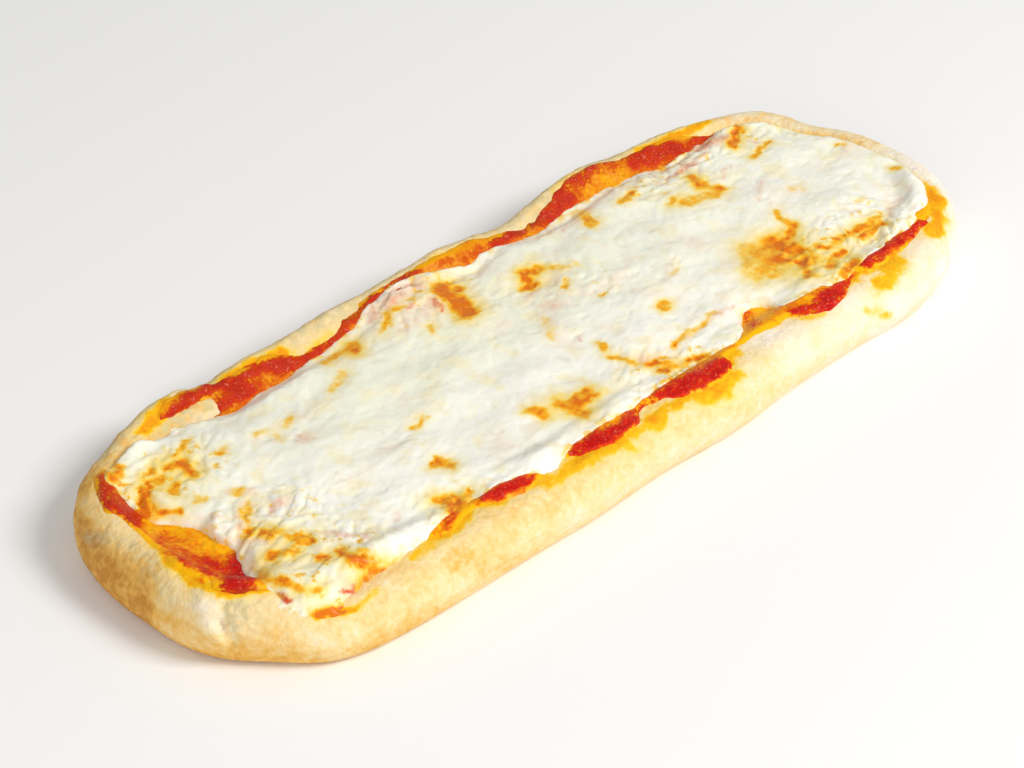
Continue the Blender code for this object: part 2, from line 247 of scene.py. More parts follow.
# A second fold of pale dough inside the rim
INNER_FOLDS = (
    (-104, 40, -94, 38.8, 1.5, 0.9), (-94, 38.4, -86, 37.4, 2.0, 1.0), (-93, 36.6, -85.5, 35.4, 2.0, 1.0),
    (-83.4, 38.4, -84.6, 34.2, 1.2, 1.0),
)
# Grey, floury places in the creases of the dough
DUSTY = (
    (-134, -33, -130, -26, 3.6, 0.80), (-128, -36, -124, -30, 2.5, 0.4), (-132.5, 8, -135, -2, 2.2, 0.5),
    (-135, -2, -139, -14, 2.2, 0.45), (-100, 39.5, -85, 37, 2.6, 0.9), (-132, 10, -138, 18, 2.5, 0.6),
    (-118, 40, -108, 42, 2.0, 0.4), (-44, 45, -34, 44, 2.0, 0.3),
)
# Where the oven has coloured the dough more
BROWNED = (
    (-142, -38, -132, -54, 5.0, 0.20), (-136, 28, -139, 18, 3.2, 0.32), (-139, 18, -145, 4, 3.2, 0.17),
    (-145, 4, -146.5, -10, 3.2, 0.12), (-146.5, -10, -145, -20, 3.2, 0.14),
    (-145, -20, -145, -31, 3.0, 0.16), (-100, 39.5, -86, 37.5, 2.4, 0.20),
    (-126, 36, -110, 42, 4.0, 0.30), (-122, -60, -100, -62, 4.0, 0.22), (-80, -60, -68, -63, 4.0, 0.14),
    (-84, -52, -80, -50, 2.5, 0.22), (10, -60, 60, -62, 3.0, 0.16), (126, 12, 133, 0, 4.0, 0.30),
    (112, 42, 124, 32, 4.0, 0.22),
)
# Where it has stayed paler, and beside the left end's long crease a painted highlight on the swell
PALER_AND_HIGHLIT = (
    (-133.5, 16, -135, 9, 3.0, 0.8), (-134.5, -22, -139, -29, 3.0, 1.0), (-138, -27, -141, -35, 1.8, 1.0),
    (-118, -34, -122, -40, 3.0, 0.5),
)
# Where a film of cheese has run over the rim
FILMED = (
    (106, 41, 121, 38, 2.6, 0.7), (121, 38, 126, 24, 2.4, 0.7), (127, 20, 132, 8, 2.0, 0.6),
    (132, 8, 133, -12, 2.0, 0.6), (-90, 35, -84, 33, 1.6, 0.5),
)
# Where the cheese and the sauce reach further out than their plain outlines or, less than 0, less far
CHEESE_REACH = (
    (127, -22, 117, -37, 5.5, 0.7), (74, -38, 112, -33, 4.0, 0.80), (-119, -39, -110, -46, 3.0, 0.9),
    (108, 43, 126, 36, 5.0, -0.6), (-98, 39.5, -87, 38.5, 2.2, -0.4), (-106, 38, -119, 35, 3.0, 0.7),
    (-94, 35.5, -88, 33.5, 2.0, 0.5), (-123, 28, -125, 16, 2.5, -0.4), (-124, 12, -125, 9, 1.6, 0.9),
    (-118.5, 3, -118, -6, 3.0, -1.0), (-121, -30, -120.5, -37, 2.4, 1.0), (-62, -38, -56, -40, 2.0, -0.5),
    (-30, -42, -12, -45, 2.5, -0.5),
)
SAUCE_REACH = (
    (-94, 42.5, -78, 45, 1.8, 1.0), (-51, 41, -41, 42, 2.4, -1.3), (-41, 42.5, -29, 45.5, 2.2, -1.1),
    (37, 42, 50, 48, 1.8, -0.9), (-131, -4, -130, -14, 3.0, 0.8), (-127, -21, -121, -22, 3.0, 1.3),
    (-60, -41, -46, -42, 2.5, 0.6), (-30, -43, -12, -44, 2.5, 0.7), (4, -43, 22, -45, 3.0, 0.7),
    (54, -43, 73, -44, 3.0, 0.6), (84, -41, 116, -40, 3.2, 1.0), (106, 45, 128, 31, 5.0, -1.3),
    (128, 24, 137, -6, 5.0, -1.0), (-114, 39, -100, 42, 3.5, -1.4), (-121, 35, -127, 24, 3.5, 0.9),
    (-102, 36, -88, 34, 2.0, -1.2),
)
# Where the sauce is thick and red, and where the heat has caught it
SAUCE_REDS = (
    (-96, 41.5, -85, 43.5, 1.5, 1.0), (-85, 43.5, -72, 44, 1.6, 1.0), (-80, 37, -72, 38, 3.6, 0.90),
    (-60, 38, -54, 36, 3.4, 0.92), (-74, 41, -58, 40.5, 1.6, 0.80), (-52, 36, -42, 37.5, 1.3, 0.95),
    (-42, 38, -20, 43.5, 1.9, 0.72), (-20, 44, -5, 45, 1.4, 0.80), (-12, 41.5, -9, 43, 1.6, 1.0),
    (19, 39, 29, 39.5, 2.0, 0.85), (29, 39, 39, 39, 1.2, 0.70), (39, 38, 50, 41, 3.0, 0.92),
    (51, 45, 72, 49, 1.6, 0.70), (50, 42, 60, 45, 2.4, 0.42), (60, 46, 72, 45.5, 2.6, 0.38),
    (5, 41, 17, 38, 2.2, 0.26), (-71, -38.5, -77, -42.5, 1.8, 0.46), (80, 42, 92, 37, 4.2, 0.95),
    (95, 36, 110, 36, 1.7, 0.80), (-120, 34, -124, 28, 1.6, 0.74), (-124, 28, -126.5, 15, 2.0, 0.80),
    (-126, 5, -127, -4, 1.8, 0.25), (-127, -4, -125, -11, 2.0, 0.40), (-125, -11, -122, -14, 1.6, 0.50),
    (-119.5, -17, -126, -23, 3.2, 1.6), (-58, -39, -48, -42, 2.2, 0.78), (-31, -42, -11, -44, 2.6, 1.0),
    (-11, -41, 5, -41, 1.1, 0.80), (-6, -45, 1, -45, 1.2, 0.55), (5, -42, 21, -44, 3.2, 1.0),
    (54, -42, 62, -46, 2.8, 1.0), (61, -45, 73, -42, 3.4, 1.0), (85, -40, 100, -38, 2.0, 0.80),
    (100, -38, 116, -38.5, 2.0, 0.78), (41, -38, 44, -32, 1.4, 0.42),
)
SAUCE_BROWNS = (
    (-127, -23, -123, -25, 1.8, 0.8), (-40, 39, -24, 43, 1.3, 0.6), (-13, 41, -8, 42, 1.8, 0.7),
    (29, 38.5, 38, 39.5, 1.1, 0.7), (-90, -43, -82, -42, 1.4, 0.6), (108, 41, 112, 38, 1.4, 0.4),
)
# Oily and scorched spots on the cheese
CHEESE_STAINS = (
    (-108, 25, -104, 25, 1.2, 0.70), (-104, 24.5, -103.8, 19.5, 1.9, 0.95),
    (-123, 15.5, -117, 23, 1.6, 0.90), (-120.5, 12, -117, 10.5, 1.4, 0.75),
    (-113.5, 24, -111.5, 23, 1.2, 0.75), (-119, 31, -116, 34, 1.4, 0.66), (-112, 27, -110, 28, 1.2, 0.75),
    (-102, 29, -95, 30, 1.2, 0.50), (-94, 21, -92, 21, 1.2, 0.45), (-109.7, 19, -112.5, 17, 1.1, 0.66),
    (-110.5, 11, -109, 10, 1.5, 0.42), (-102, 6, -101, 5, 1.3, 0.42), (-104, 0, -107.5, -4.5, 1.1, 0.50),
    (-110, -8, -109.5, -8, 1.5, 0.62), (-106.6, -11, -106, -12, 1.7, 0.80),
    (-112, -19, -110.5, -18, 1.5, 0.85), (-108.5, -21, -107.5, -21.5, 1.5, 0.70),
    (-104, -12, -102, -20, 1.2, 0.55), (-103, -19.5, -101, -20, 1.2, 0.80),
    (-117, -21, -115, -28, 1.8, 0.50), (-114.5, -28, -115, -33, 1.3, 0.60),
    (-113, -35, -111, -35, 1.3, 0.60), (-118.5, -42.5, -113.5, -46, 1.7, 0.95),
    (-113, -46.5, -108, -47.5, 1.3, 0.70), (-103, -27, -102, -28, 1.2, 0.66),
    (-98, -29, -98, -32, 1.3, 0.66), (-97.5, -34.5, -97.2, -36.5, 1.9, 0.95),
    (-98, -39.3, -102, -41.5, 1.6, 0.62), (-97, -41.8, -94, -42, 1.4, 0.55),
    (-103, -41, -107, -44, 1.0, 0.45), (-75, 18, -73, 19, 1.5, 0.48), (-83, 20, -81, 20, 1.3, 0.35),
    (-80, 16, -80, 14, 1.1, 0.35), (-57, 20, -50, 24, 1.6, 0.42), (-50, 31, -42, 31, 1.2, 0.66),
    (-41, 30, -39, 31.5, 1.9, 0.92), (-52, -6, -48, -4.5, 1.3, 0.60), (-59, -20, -57, -23, 1.7, 0.74),
    (-69, -31, -67, -33, 1.5, 0.88), (-70, -37, -66, -35, 1.2, 0.80), (-63, -35, -62, -34, 1.2, 0.72),
    (-27, -22, -26, -25, 1.7, 0.70), (-20, -25, -19, -32, 1.9, 0.76), (-19, -26, -11, -27, 1.9, 0.74),
    (-16, -29, -11, -28, 1.5, 0.70), (-26, 33, -24, 35, 1.3, 0.66), (-21, 36, -19, 35, 1.2, 0.60),
    (-21, 22, -20, 23, 1.2, 0.55), (-30, 31, -28, 32, 1.3, 0.45), (-15, 37, -14, 36, 1.1, 0.50),
    (-4, 34, -8, 21, 2.8, 1.0), (11, 18, 14, 19, 1.5, 0.95), (14, 21, 16, 24, 1.7, 0.88),
    (18, 22, 20, 22.5, 1.6, 0.90), (20, 21, 29, 16, 1.2, 0.42), (19, 11, 21, 12, 1.2, 0.42),
    (-1, -3, 4, 4, 1.5, 0.32), (22.8, 1.5, 23.2, 1.5, 0.6, 1.0), (30, -14.5, 32, -14, 1.4, 0.72),
    (44, -5, 46, -5, 1.2, 0.28), (6, -14, 5, -17, 1.2, 0.60), (4, -21, 6, -26, 1.2, 0.60),
    (9, -29, 12, -32, 1.3, 0.82), (9, -34, 13, -34, 1.2, 0.74), (15, -35, 22, -37, 1.2, 0.60),
    (20, -28, 38, -26, 0.8, 0.48), (60, -20, 67, -12, 3.4, 0.44), (63, -24, 72, -16, 3.4, 0.50),
    (76, -14, 76, -24, 2.6, 0.82), (70, -22, 74, -27, 2.4, 0.80), (73, -27, 69, -32, 1.8, 0.90),
    (78, -17, 85, -13, 1.6, 0.70), (85, -13, 87, -5, 1.2, 0.55), (77, -33, 85, -31, 1.2, 0.86),
    (82, -25, 84, -27, 1.4, 0.62), (87, -26, 91, -27, 1.3, 0.50), (94, -27, 104, -27, 1.5, 0.74),
    (94, -31, 103, -30, 1.4, 0.70), (84, -36, 76, -39, 1.5, 0.75), (47, 28, 48, 32, 1.8, 0.70),
    (61, 29, 66, 31, 1.5, 0.62), (69, 19, 71, 19.5, 1.4, 0.55), (73, 16, 84, 13, 2.0, 0.58),
    (82, 21, 84, 24, 1.7, 0.78), (83, 20, 85, 14, 1.6, 0.60), (104, 27, 113, 32, 1.7, 1.0),
    (104, 19, 114, 21, 1.2, 0.62), (99, -1, 102, -2, 1.8, 0.26), (107, -17, 109, -18, 1.2, 0.34),
    (127, -13, 129, -14, 1.3, 0.62), (126, 6, 128, 4, 1.0, 0.55),
)
# Where the sauce shines through the cheese as pink
CHEESE_BLUSHES = (
    (-26, 38, -8, 40, 4.0, 0.50), (-24, 28, -8, 30, 4.0, 0.34), (-11, 27, -10, 32, 1.2, 0.80),
    (-17, 33, -16, 34, 0.9, 0.70), (-100, -6, -96, -4, 2.2, 0.50), (-110, -6, -103, 1, 1.6, 0.45),
    (-116, -6, -108, -14, 2.2, 0.42), (-103, 8, -99, 3, 1.6, 0.34), (-111, 3.5, -110.5, 2.5, 1.4, 0.45),
    (-120.2, -31, -120, -33, 1.4, 0.95), (-108, -41, -105.5, -46.5, 1.0, 0.75),
    (-76, 11, -75, 10, 1.8, 0.38), (-96, -22, -90, -30, 1.2, 0.45), (-108, -45, -105, -42, 1.5, 0.80),
    (-112, -18, -108, -19, 1.3, 0.50), (0, -6, 8, 8, 3.5, 0.26), (10, 8, 30, 4, 3.0, 0.26),
    (4, -9, 5, -8, 1.0, 0.55), (8, 14, 24, 16, 2.2, 0.30), (9, -27, 14, -33, 2.0, 0.50),
    (20, -28, 42, -27, 1.2, 0.46), (38, -26, 54, -31, 1.0, 0.34), (50, 34, 52, 33, 1.2, 0.50),
    (38, 30, 46, 31, 0.9, 0.40), (74, 28, 96, 29, 1.4, 0.55), (96, 34, 108, 31, 2.2, 0.55),
    (90, 18, 96, 20, 1.2, 0.45), (88, 3, 95, 8, 1.5, 0.36), (95, 8, 104, 9, 0.9, 0.28),
    (100, -1, 103, -1, 2.4, 0.24), (110, 24, 114, 20, 1.6, 0.40), (108, -28, 122, -24, 1.2, 0.36),
    (-84, 19, -70, 18, 2.6, 0.22), (-32, -35, -14, -35, 1.6, 0.22), (-82, -30, -78, -27, 1.4, 0.34),
)
# Bare places inside the cheese's edge
CHEESE_HOLES = (
    (-12, 43.3, -9, 43.2, 1.9, 1.0), (43, -36, 50, -33, 3.6, 0.9), (105, 28, 111, 31, 1.2, 0.5),
)
# Where the shreds keep their form. Elsewhere they have run together.
CHEESE_SHREDDED = (
    (-118, 24, -104, 22, 9.0, 1.0), (-114, -6, -98, -8, 8.0, 0.9), (-106, -32, -100, -28, 11.0, 1.0),
    (-20, 34, -4, 36, 9.0, 0.7), (6, -30, 20, -32, 7.0, 0.8), (78, -24, 104, -28, 8.0, 0.9),
    (70, 30, 110, 30, 8.0, 0.8), (-70, -32, -58, -32, 6.0, 0.5), (14, 16, 26, 6, 8.0, 0.45),
)


def linear(*shade):
    """A colour given as screen values from 0 to 255, as the linear values that the shaders take."""
    share = np.array(shade) / 255
    return tuple(np.where(share > 0.04045, ((share + 0.055) / 1.055) ** 2.4, share / 12.92).tolist())


def plan_stations():
    """Points round the plan, evenly spaced along it: four like quarters of the plan's own formula."""
    share = np.linspace(0.0, 1.0, PLAN_STEPS + 1)
    turn = 0.5 * np.pi * share ** (0.5 * END_POWER)
    turn[-1] = 0.5 * np.pi
    x = 0.5 * LENGTH * np.sin(turn) ** (2 / END_POWER)
    y = 0.5 * WIDTH * np.cos(turn) ** (2 / SIDE_POWER)
    run = np.concatenate([[0.0], np.cumsum(np.hypot(np.diff(x), np.diff(y)))])
    at = np.linspace(run[-1], 0.0, STATIONS // 4 + 1)
    qx = np.interp(at, run, x)
    qy = np.interp(at, run, y)
    px = np.concatenate([qx[:-1], -qx[:0:-1], -qx[:-1], qx[:0:-1]])
    py = np.concatenate([qy[:-1], qy[:0:-1], -qy[:-1], -qy[:0:-1]])
    return px, py


def swell(x, y, places):
    """The sum of rounded bumps, each exp(-(distance / spread) ** 2) times its push."""
    total = np.zeros(np.shape(x))
    for at_x, at_y, spread, push in places:
        total = total + push * np.exp(-((x - at_x) ** 2 + (y - at_y) ** 2) / spread**2)
    return total


def eased(t):
    """0 below 0, 1 above 1, and a smooth S between."""
    t = np.clip(t, 0.0, 1.0)
    return t * t * (3.0 - 2.0 * t)


def between(value, span):
    """0 before a span's start, 1 past its end, which may lie either way, and a smooth S between."""
    start, end = span
    return eased((value - start) / (end - start))


def hashed(*numbers):
    """A number from 0 to 1 for each whole-number corner and seed, by multiplying and folding its bits."""
    x, y, z, seed = (number * factor for number, factor in zip(numbers, CORNER_FACTORS, strict=True))
    mixed = x ^ y ^ z ^ seed
    mixed = ((mixed ^ (mixed >> 13)) & LOW_BITS) * FOLD_FACTORS[0] & LOW_BITS
    mixed = ((mixed ^ (mixed >> 15)) & LOW_BITS) * FOLD_FACTORS[1] & LOW_BITS
    return ((mixed ^ (mixed >> 16)) & 0xFFFF) / 0xFFFF


def noise(points, size, seed):
    """Smooth noise from about -1 to 1: a random slope at every corner of a lattice of cubes of that size,
    blended between the eight corners round a point by an S curve."""
    cell = np.floor(points / size)
    part = points / size - cell
    cell = cell.astype(np.int64)
    ease = part**3 * (part * (part * 6 - 15) + 10)
    total = np.zeros(points.shape[:-1])
    for corner in np.ndindex(2, 2, 2):
        x, y, z = (cell[..., axis] + corner[axis] for axis in range(3))
        turn = 2 * np.pi * hashed(x, y, z, seed)
        up = 2 * hashed(x, y, z, seed + 7) - 1
        flat = np.sqrt(1 - up**2)
        off_x, off_y, off_z = np.moveaxis(part - corner, -1, 0)
        slope = flat * np.cos(turn) * off_x + flat * np.sin(turn) * off_y + up * off_z
        near = np.where(np.array(corner) > 0, ease, 1 - ease)
        total += slope * near.prod(axis=-1)
    return 1.7 * total


def noises(points, layers):
    """Several noises added up."""
    return sum(strength * noise(points, size, seed) for strength, size, seed in layers)


def rough(points, size, seed, octaves=3):
    """Noise of a size, and of half, a quarter and so on of it, each half as high as the one before."""
    total = np.zeros(points.shape[:-1])
    for step in range(octaves):
        total += 0.5**step * noise(points, size * 0.5**step, seed + 31 * step)
    return total


def stroke(x, y, mark):
    """One stroke's strength at each place. With d the distance to its line over its width, 0.6 of it falls
    off as exp(-d ** 4) and the rest as exp(-(d / 1.8) ** 2). It is given in millimetres."""
    from_x, from_y, to_x, to_y, width, strength = mark
    run_x = (to_x - from_x) * MM
    run_y = (to_y - from_y) * MM
    length = max(run_x**2 + run_y**2, MM**3)
    off_x = x - from_x * MM
    off_y = y - from_y * MM
    share = np.clip((off_x * run_x + off_y * run_y) / length, 0.0, 1.0)
    away = ((off_x - share * run_x) ** 2 + (off_y - share * run_y) ** 2) / (width * MM) ** 2
    return strength * (0.60 * np.exp(-(away**2)) + 0.40 * np.exp(-away / 3.24))


def marked(x, y, marks):
    """How strongly strokes mark each place, from 0 to 1, where they overlap as layers of paint do."""
    bare = np.ones(np.shape(x))
    for mark in marks:
        bare = bare * (1 - stroke(x, y, mark))
    return 1 - bare


def pushed(x, y, marks):
    """The strokes' strengths added up. One less than 0 pulls where the others push."""
    return sum(stroke(x, y, mark) for mark in marks)


def seen(x, y, z):
    """Where the camera's line of sight through a place crosses the level plane that the marks are placed on.
    It wanders by about a millimetre, so that no mark has a plain outline."""
    points = np.stack([x, y, z], -1)
    lean = LEAN * (SEEN_HEIGHT - z)
    return x - lean + noises(points, ASIDE_NOISES), y - lean + noises(points, ALONG_NOISES)


class Plan:
    """The plan's stations, the way in from each to the spine, and what the sections need there."""

    def __init__(self):
        x, y = plan_stations()
        self.spine_x = np.clip(x, -SPINE, SPINE)
        away = np.stack([x - self.spine_x, y], 1)
        self.out = away / np.linalg.norm(away, axis=1, keepdims=True)
        push = swell(x, y, PLAN_SWELLS)
        self.edge = np.stack([x, y], 1) + self.out * push[:, None]
        self.middle = 0.5 * (self.edge.min(axis=0) + self.edge.max(axis=0))
        self.reach = np.linalg.norm(away, axis=1) + push
        self.rim_height = self.by_side(RIM_HEIGHT) + swell(x, y, RIM_SWELLS)
        self.rim_inset = self.by_side(RIM_INSET)
        self.slope = self.by_side(SLOPE)
        self.level = self.by_side(LEVEL)
        self.sauce_inset = self.layer_inset(SAUCE_INSET, SAUCE_SWELLS)
        self.cheese_inset = self.layer_inset(CHEESE_INSET, CHEESE_SWELLS)

    def by_side(self, values):
        """The sides' values blended round the plan, each by the square of how much a station faces it."""
        way_x, way_y = self.out.T
        near = values["near"] * np.minimum(way_y, 0) ** 2
        far = values["far"] * np.maximum(way_y, 0) ** 2
        left = values["left"] * np.minimum(way_x, 0) ** 2
        right = values["right"] * np.maximum(way_x, 0) ** 2
        return near + far + left + right

    def layer_inset(self, insets, swells):
        """Where a layer's edge lies: the sides' insets, less its swells there."""
        inset = self.by_side(insets)
        x, y = self.at(inset)
        return inset - swell(x, y, swells)

    def at(self, inset):
        """The plan places at an inset from every station."""
        return self.edge[:, 0] - inset * self.out[:, 0], self.edge[:, 1] - inset * self.out[:, 1]

    def wall(self, inset):
        """The dough's wall over the belly: a quarter of an ellipse from the edge of the plan to the rim."""
        belly = BELLY * self.rim_height
        lean = 1 - np.clip(inset / self.rim_inset, 0.0, 1.0)
        return belly + (self.rim_height - belly) * np.sqrt(1 - lean**2)

    def dough(self, inset):
        """The dough's upper surface: up the wall to the rim, then down in an S to the level floor."""
        down = eased((inset - self.rim_inset - self.level) / self.slope)
        return self.wall(inset) + (FLOOR - self.rim_height) * down

    def inward(self, start, steps, power=1.0):
        """Insets from a start to the spine, closer together near the start where the power is over 1."""
        share = np.linspace(0.0, 1.0, steps)[:, None] ** power
        return start + share * (self.reach - start)


def dough_relief(x, y, z, height):
    """How far the dough stands out from its plain form: broad swells, blisters, pores, the folds pressed
    into the rim, and a second fold that lies inside it."""
    points = np.stack([x, y, z], -1)
    swells = noises(points, DOUGH_NOISES)
    blisters = 1.2 * np.maximum(noise(points, 0.0052, 13) - 0.20, 0)
    pores = -0.9 * np.maximum(noise(points, 0.0023, 14) - 0.28, 0) + 0.16 * noise(points, 0.0014, 15)
    at_x, at_y = seen(x, y, z)
    folds = 2.2 * pushed(at_x, at_y, DOUGH_FOLDS)
    inner = marked(at_x, at_y, INNER_FOLDS)
    crumbs = 1.6 * marked(at_x, at_y, DUSTY) * noise(points, 0.0017, 16)
    off_floor = eased((z - 0.0005) / 0.0045)
    return height * off_floor * (swells + blisters + pores + folds + crumbs) + FOLD_HEIGHT * inner


def layer_height(cover, full, slope):
    """How high a layer's surface lies over what it rests on: it rises from its edge, where cover is 0, as
    full * (1 - exp(-slope * cover / full)), and outside it dives at the same slope, down to DIVE."""
    inside = full * (1 - np.exp(-slope * np.maximum(cover, 0) / full))
    return inside + np.maximum(slope * np.minimum(cover, 0), -DIVE)


def sauce_cover(plan, inset, x, y, z):
    """How far inside the sauce's edge each place lies."""
    at_x, at_y = seen(x, y, z)
    cover = inset - plan.sauce_inset + 0.0006 * rough(np.stack([x, y, z], -1), 0.006, 21)
    cover = cover + REACH["sauce"] * pushed(at_x, at_y, SAUCE_REACH)
    return cover - FOLD_DEPTH * marked(at_x, at_y, INNER_FOLDS)


def sauce_surface(plan, inset, relief):
    """The sauce's upper surface and its cover: the relieved dough, with the layer over it."""
    x, y = plan.at(inset)
    smooth = plan.dough(inset)
    base = smooth + dough_relief(x, y, smooth, relief)
    points = np.stack([x, y, smooth], -1)
    cover = sauce_cover(plan, inset, x, y, smooth)
    at_x, at_y = seen(x, y, smooth)
    full = SAUCE * (0.8 + 0.3 * noise(points, 0.007, 22) + 0.15 * marked(at_x, at_y, SAUCE_REDS))
    full = full * (0.45 + 0.55 * eased(cover / SAUCE_TAPER))
    lumps = noises(points, SAUCE_NOISES) * eased(cover / SMALL_TAPER["sauce"])
    z = base + layer_height(cover, full, SAUCE_SLOPE) + GAP + lumps
    return x, y, z, cover


def shreds(x, y, settings):
    """Ridges of half-melted shreds. Each is a curved line, (t, bend * (t * t - 1)) turned to a random angle,
    with t along its half length, and its height falls as exp(-(distance / half width) ** 4)."""
    draw = np.random.default_rng(settings.seed)
    height = np.zeros(x.shape)
    for _ in range(settings.shreds):
        at = draw.uniform(*SHRED_AREA)
        turn = draw.normal(*SHRED_TURN)
        half = draw.uniform(*SHRED_HALF)
        width = draw.uniform(*SHRED_WIDTH)
        bend = draw.uniform(*SHRED_BEND)
        close = np.hypot(x - at[0], y - at[1]) < half + 2 * width
        off_x = x[close] - at[0]
        off_y = y[close] - at[1]
        along = (off_x * np.cos(turn) + off_y * np.sin(turn)) / half
        side = off_y * np.cos(turn) - off_x * np.sin(turn) - half * bend * (along**2 - 1)
        beyond = np.maximum(np.abs(along) - 1, 0) * half
        ridge = np.exp(-(((side**2 + beyond**2) / width**2) ** 2))
        height[close] = np.maximum(height[close], draw.uniform(*SHRED_SHARE) * ridge)
    return height


def cheese_surface(plan, inset, dough_height, settings):
    """The cheese's upper surface over the sauce: long waves and lumps, run-together shreds, wrinkles and
    small pits, with an uneven edge. Returns x, y, z, its cover and how much its shreds keep their form."""
    x, y, base, _ = sauce_surface(plan, inset, dough_height)
    smooth = plan.dough(inset)
    points = np.stack([x, y, smooth], -1)
    at_x, at_y = seen(x, y, smooth + SAUCE + CHEESE)
    shredded = marked(at_x, at_y, CHEESE_SHREDDED)
    fringe = 0.0009 * noise(points, 0.0085, 41) + (0.0003 + 0.0006 * shredded) * noise(points, 0.0034, 42)
    ridges = shreds(x, y, settings)
    cover = inset - plan.cheese_inset + fringe + 0.0008 * shredded * (ridges - 0.3)
    cover = cover + REACH["cheese"] * pushed(at_x, at_y, CHEESE_REACH)
    cover = cover - HOLE_DEPTH * marked(at_x, at_y, CHEESE_HOLES) ** 2
    cover = np.minimum(cover, inset - inset[0] - HIDDEN_EDGE)
    slope = plan.by_side(CHEESE_SLOPE)
    within = eased(cover / CHEESE_TAPER)
    edge = plan.by_side(CHEESE_EDGE)
    full = edge + (CHEESE - edge) * within
    relief = swell(x, y, CHEESE_LUMPS)
    for length, turn, height in WAVES:
        along = x * np.cos(turn) + y * np.sin(turn)
        relief = relief + height * np.sin(2 * np.pi * along / length + turn)
    formed = np.clip(0.16 + 0.84 * shredded, 0, 1)
    stained = marked(at_x, at_y, CHEESE_STAINS)
    small = settings.shred_height * formed * (ridges - 0.35)
    wrinkles = 0.00022 * rough(points, 0.0080, 43) + 0.00026 * formed * rough(points, 0.0034, 44)
    pits = -0.00045 * eased((noise(points, 0.0042, 45) - 0.55) / 0.25) * (0.4 + 0.6 * formed)
    dips = -0.00035 * stained * (0.6 + 0.4 * noise(points, 0.0025, 46))
    small_forms = small + wrinkles + pits + dips
    bed = base + (smooth + SAUCE + GAP - base) * eased(cover / BED_TAPER) + 0.0001
    z = bed + (CHEESE_GAP + relief) * within
    z = z + layer_height(cover, full, slope) + small_forms * eased(cover / SMALL_TAPER["cheese"])
    outside = base + np.maximum(slope * cover, -DIVE)
    z = np.where(cover < 0, np.minimum(z, outside), np.maximum(z, base - DIVE))
    room = HIGHEST - LEVELLED
    z = np.minimum(z, LEVELLED + room * (1 - np.exp(-np.maximum(z - LEVELLED, 0) / room)))
    return x, y, z, cover, formed, ridges


def closed_piece(name, rings, plan):
    """A closed mesh from rings of stations, given as an array of ring, station and place. The rings run from
    the spine out along the underside, up and in over the top to the spine again, and the first and the last
    meet their own other side on the spine."""
    count = len(rings)
    _, spine_of = np.unique(np.round(plan.spine_x, 7), return_inverse=True)
    spine_size = spine_of.max() + 1
    numbers = np.arange(count * STATIONS).reshape(count, STATIONS)
    numbers = numbers - STATIONS + spine_size
    numbers[0] = spine_of
    numbers[-1] = numbers[-1, 0] + spine_of
    points = np.empty((numbers.max() + 1, 3))
    points[numbers.ravel()] = rings.reshape(-1, 3)
    points[:, :2] -= plan.middle
    low, high = numbers[:-1], numbers[1:]
    low_after, high_after = np.roll(low, -1, 1), np.roll(high, -1, 1)
    first = np.stack([low, low_after, high_after], -1).reshape(-1, 3)
    second = np.stack([low, high_after, high], -1).reshape(-1, 3)
    faces = np.concatenate([first, second])
    same = (faces[:, 0] == faces[:, 1]) | (faces[:, 1] == faces[:, 2]) | (faces[:, 0] == faces[:, 2])
    faces = faces[~same]
    mesh = bpy.data.meshes.new(name)
    mesh.from_pydata(points, [], faces)
    mesh.update()
    mesh.shade_smooth()
    piece = bpy.data.objects.new(name, mesh)
    bpy.context.scene.collection.objects.link(piece)
    return piece, numbers


def add_marks(piece, numbers, marks):
    """Stores each named mark, one value for each point of the rings, as an attribute of the mesh."""
    for name, values in marks.items():
        flat = np.zeros(len(piece.data.vertices))
        flat[numbers.ravel()] = values.ravel()
        piece.data.attributes.new(name, "FLOAT", "POINT").data.foreach_set("value", flat)


def finished_piece(name, rings, plan, marks, material):
    """A closed piece with its marks and its material."""
    piece, numbers = closed_piece(name, rings, plan)
    add_marks(piece, numbers, marks)
    piece.data.materials.append(material)
    return piece


def around(rings):
    """The outward direction at every point of the rings, from the steps to the points round it."""
    along = np.roll(rings, -1, 1) - np.roll(rings, 1, 1)
    up = np.gradient(rings, axis=0)
    way = np.cross(along, up)
    return way / np.maximum(np.linalg.norm(way, axis=-1, keepdims=True), 1e-12)


class Channel:
    """A socket of a material's nodes. Sums and products of channels add the Math nodes that work them out."""

    def __init__(self, paint, socket):
        self.paint = paint
        self.socket = socket

    def worked(self, operation, *others):
        values = dict(enumerate((self, *others)))
        return self.paint.node("ShaderNodeMath", {"operation": operation}, values)

    def __add__(self, other):
        return self.worked("ADD", other)

    def __sub__(self, other):
        return self.worked("SUBTRACT", other)

    def __rsub__(self, other):
        return self.paint.node("ShaderNodeMath", {"operation": "SUBTRACT"}, {0: other, 1: self})

    def __mul__(self, other):
        return self.worked("MULTIPLY", other)

    def between(self, low, high):
        """0 below low, 1 above high, and a smooth S between."""
        settings = {"interpolation_type": "SMOOTHSTEP"}
        values = {"Value": self, "From Min": low, "From Max": high}
        return self.paint.node("ShaderNodeMapRange", settings, values)

    __radd__ = __add__
    __rmul__ = __mul__


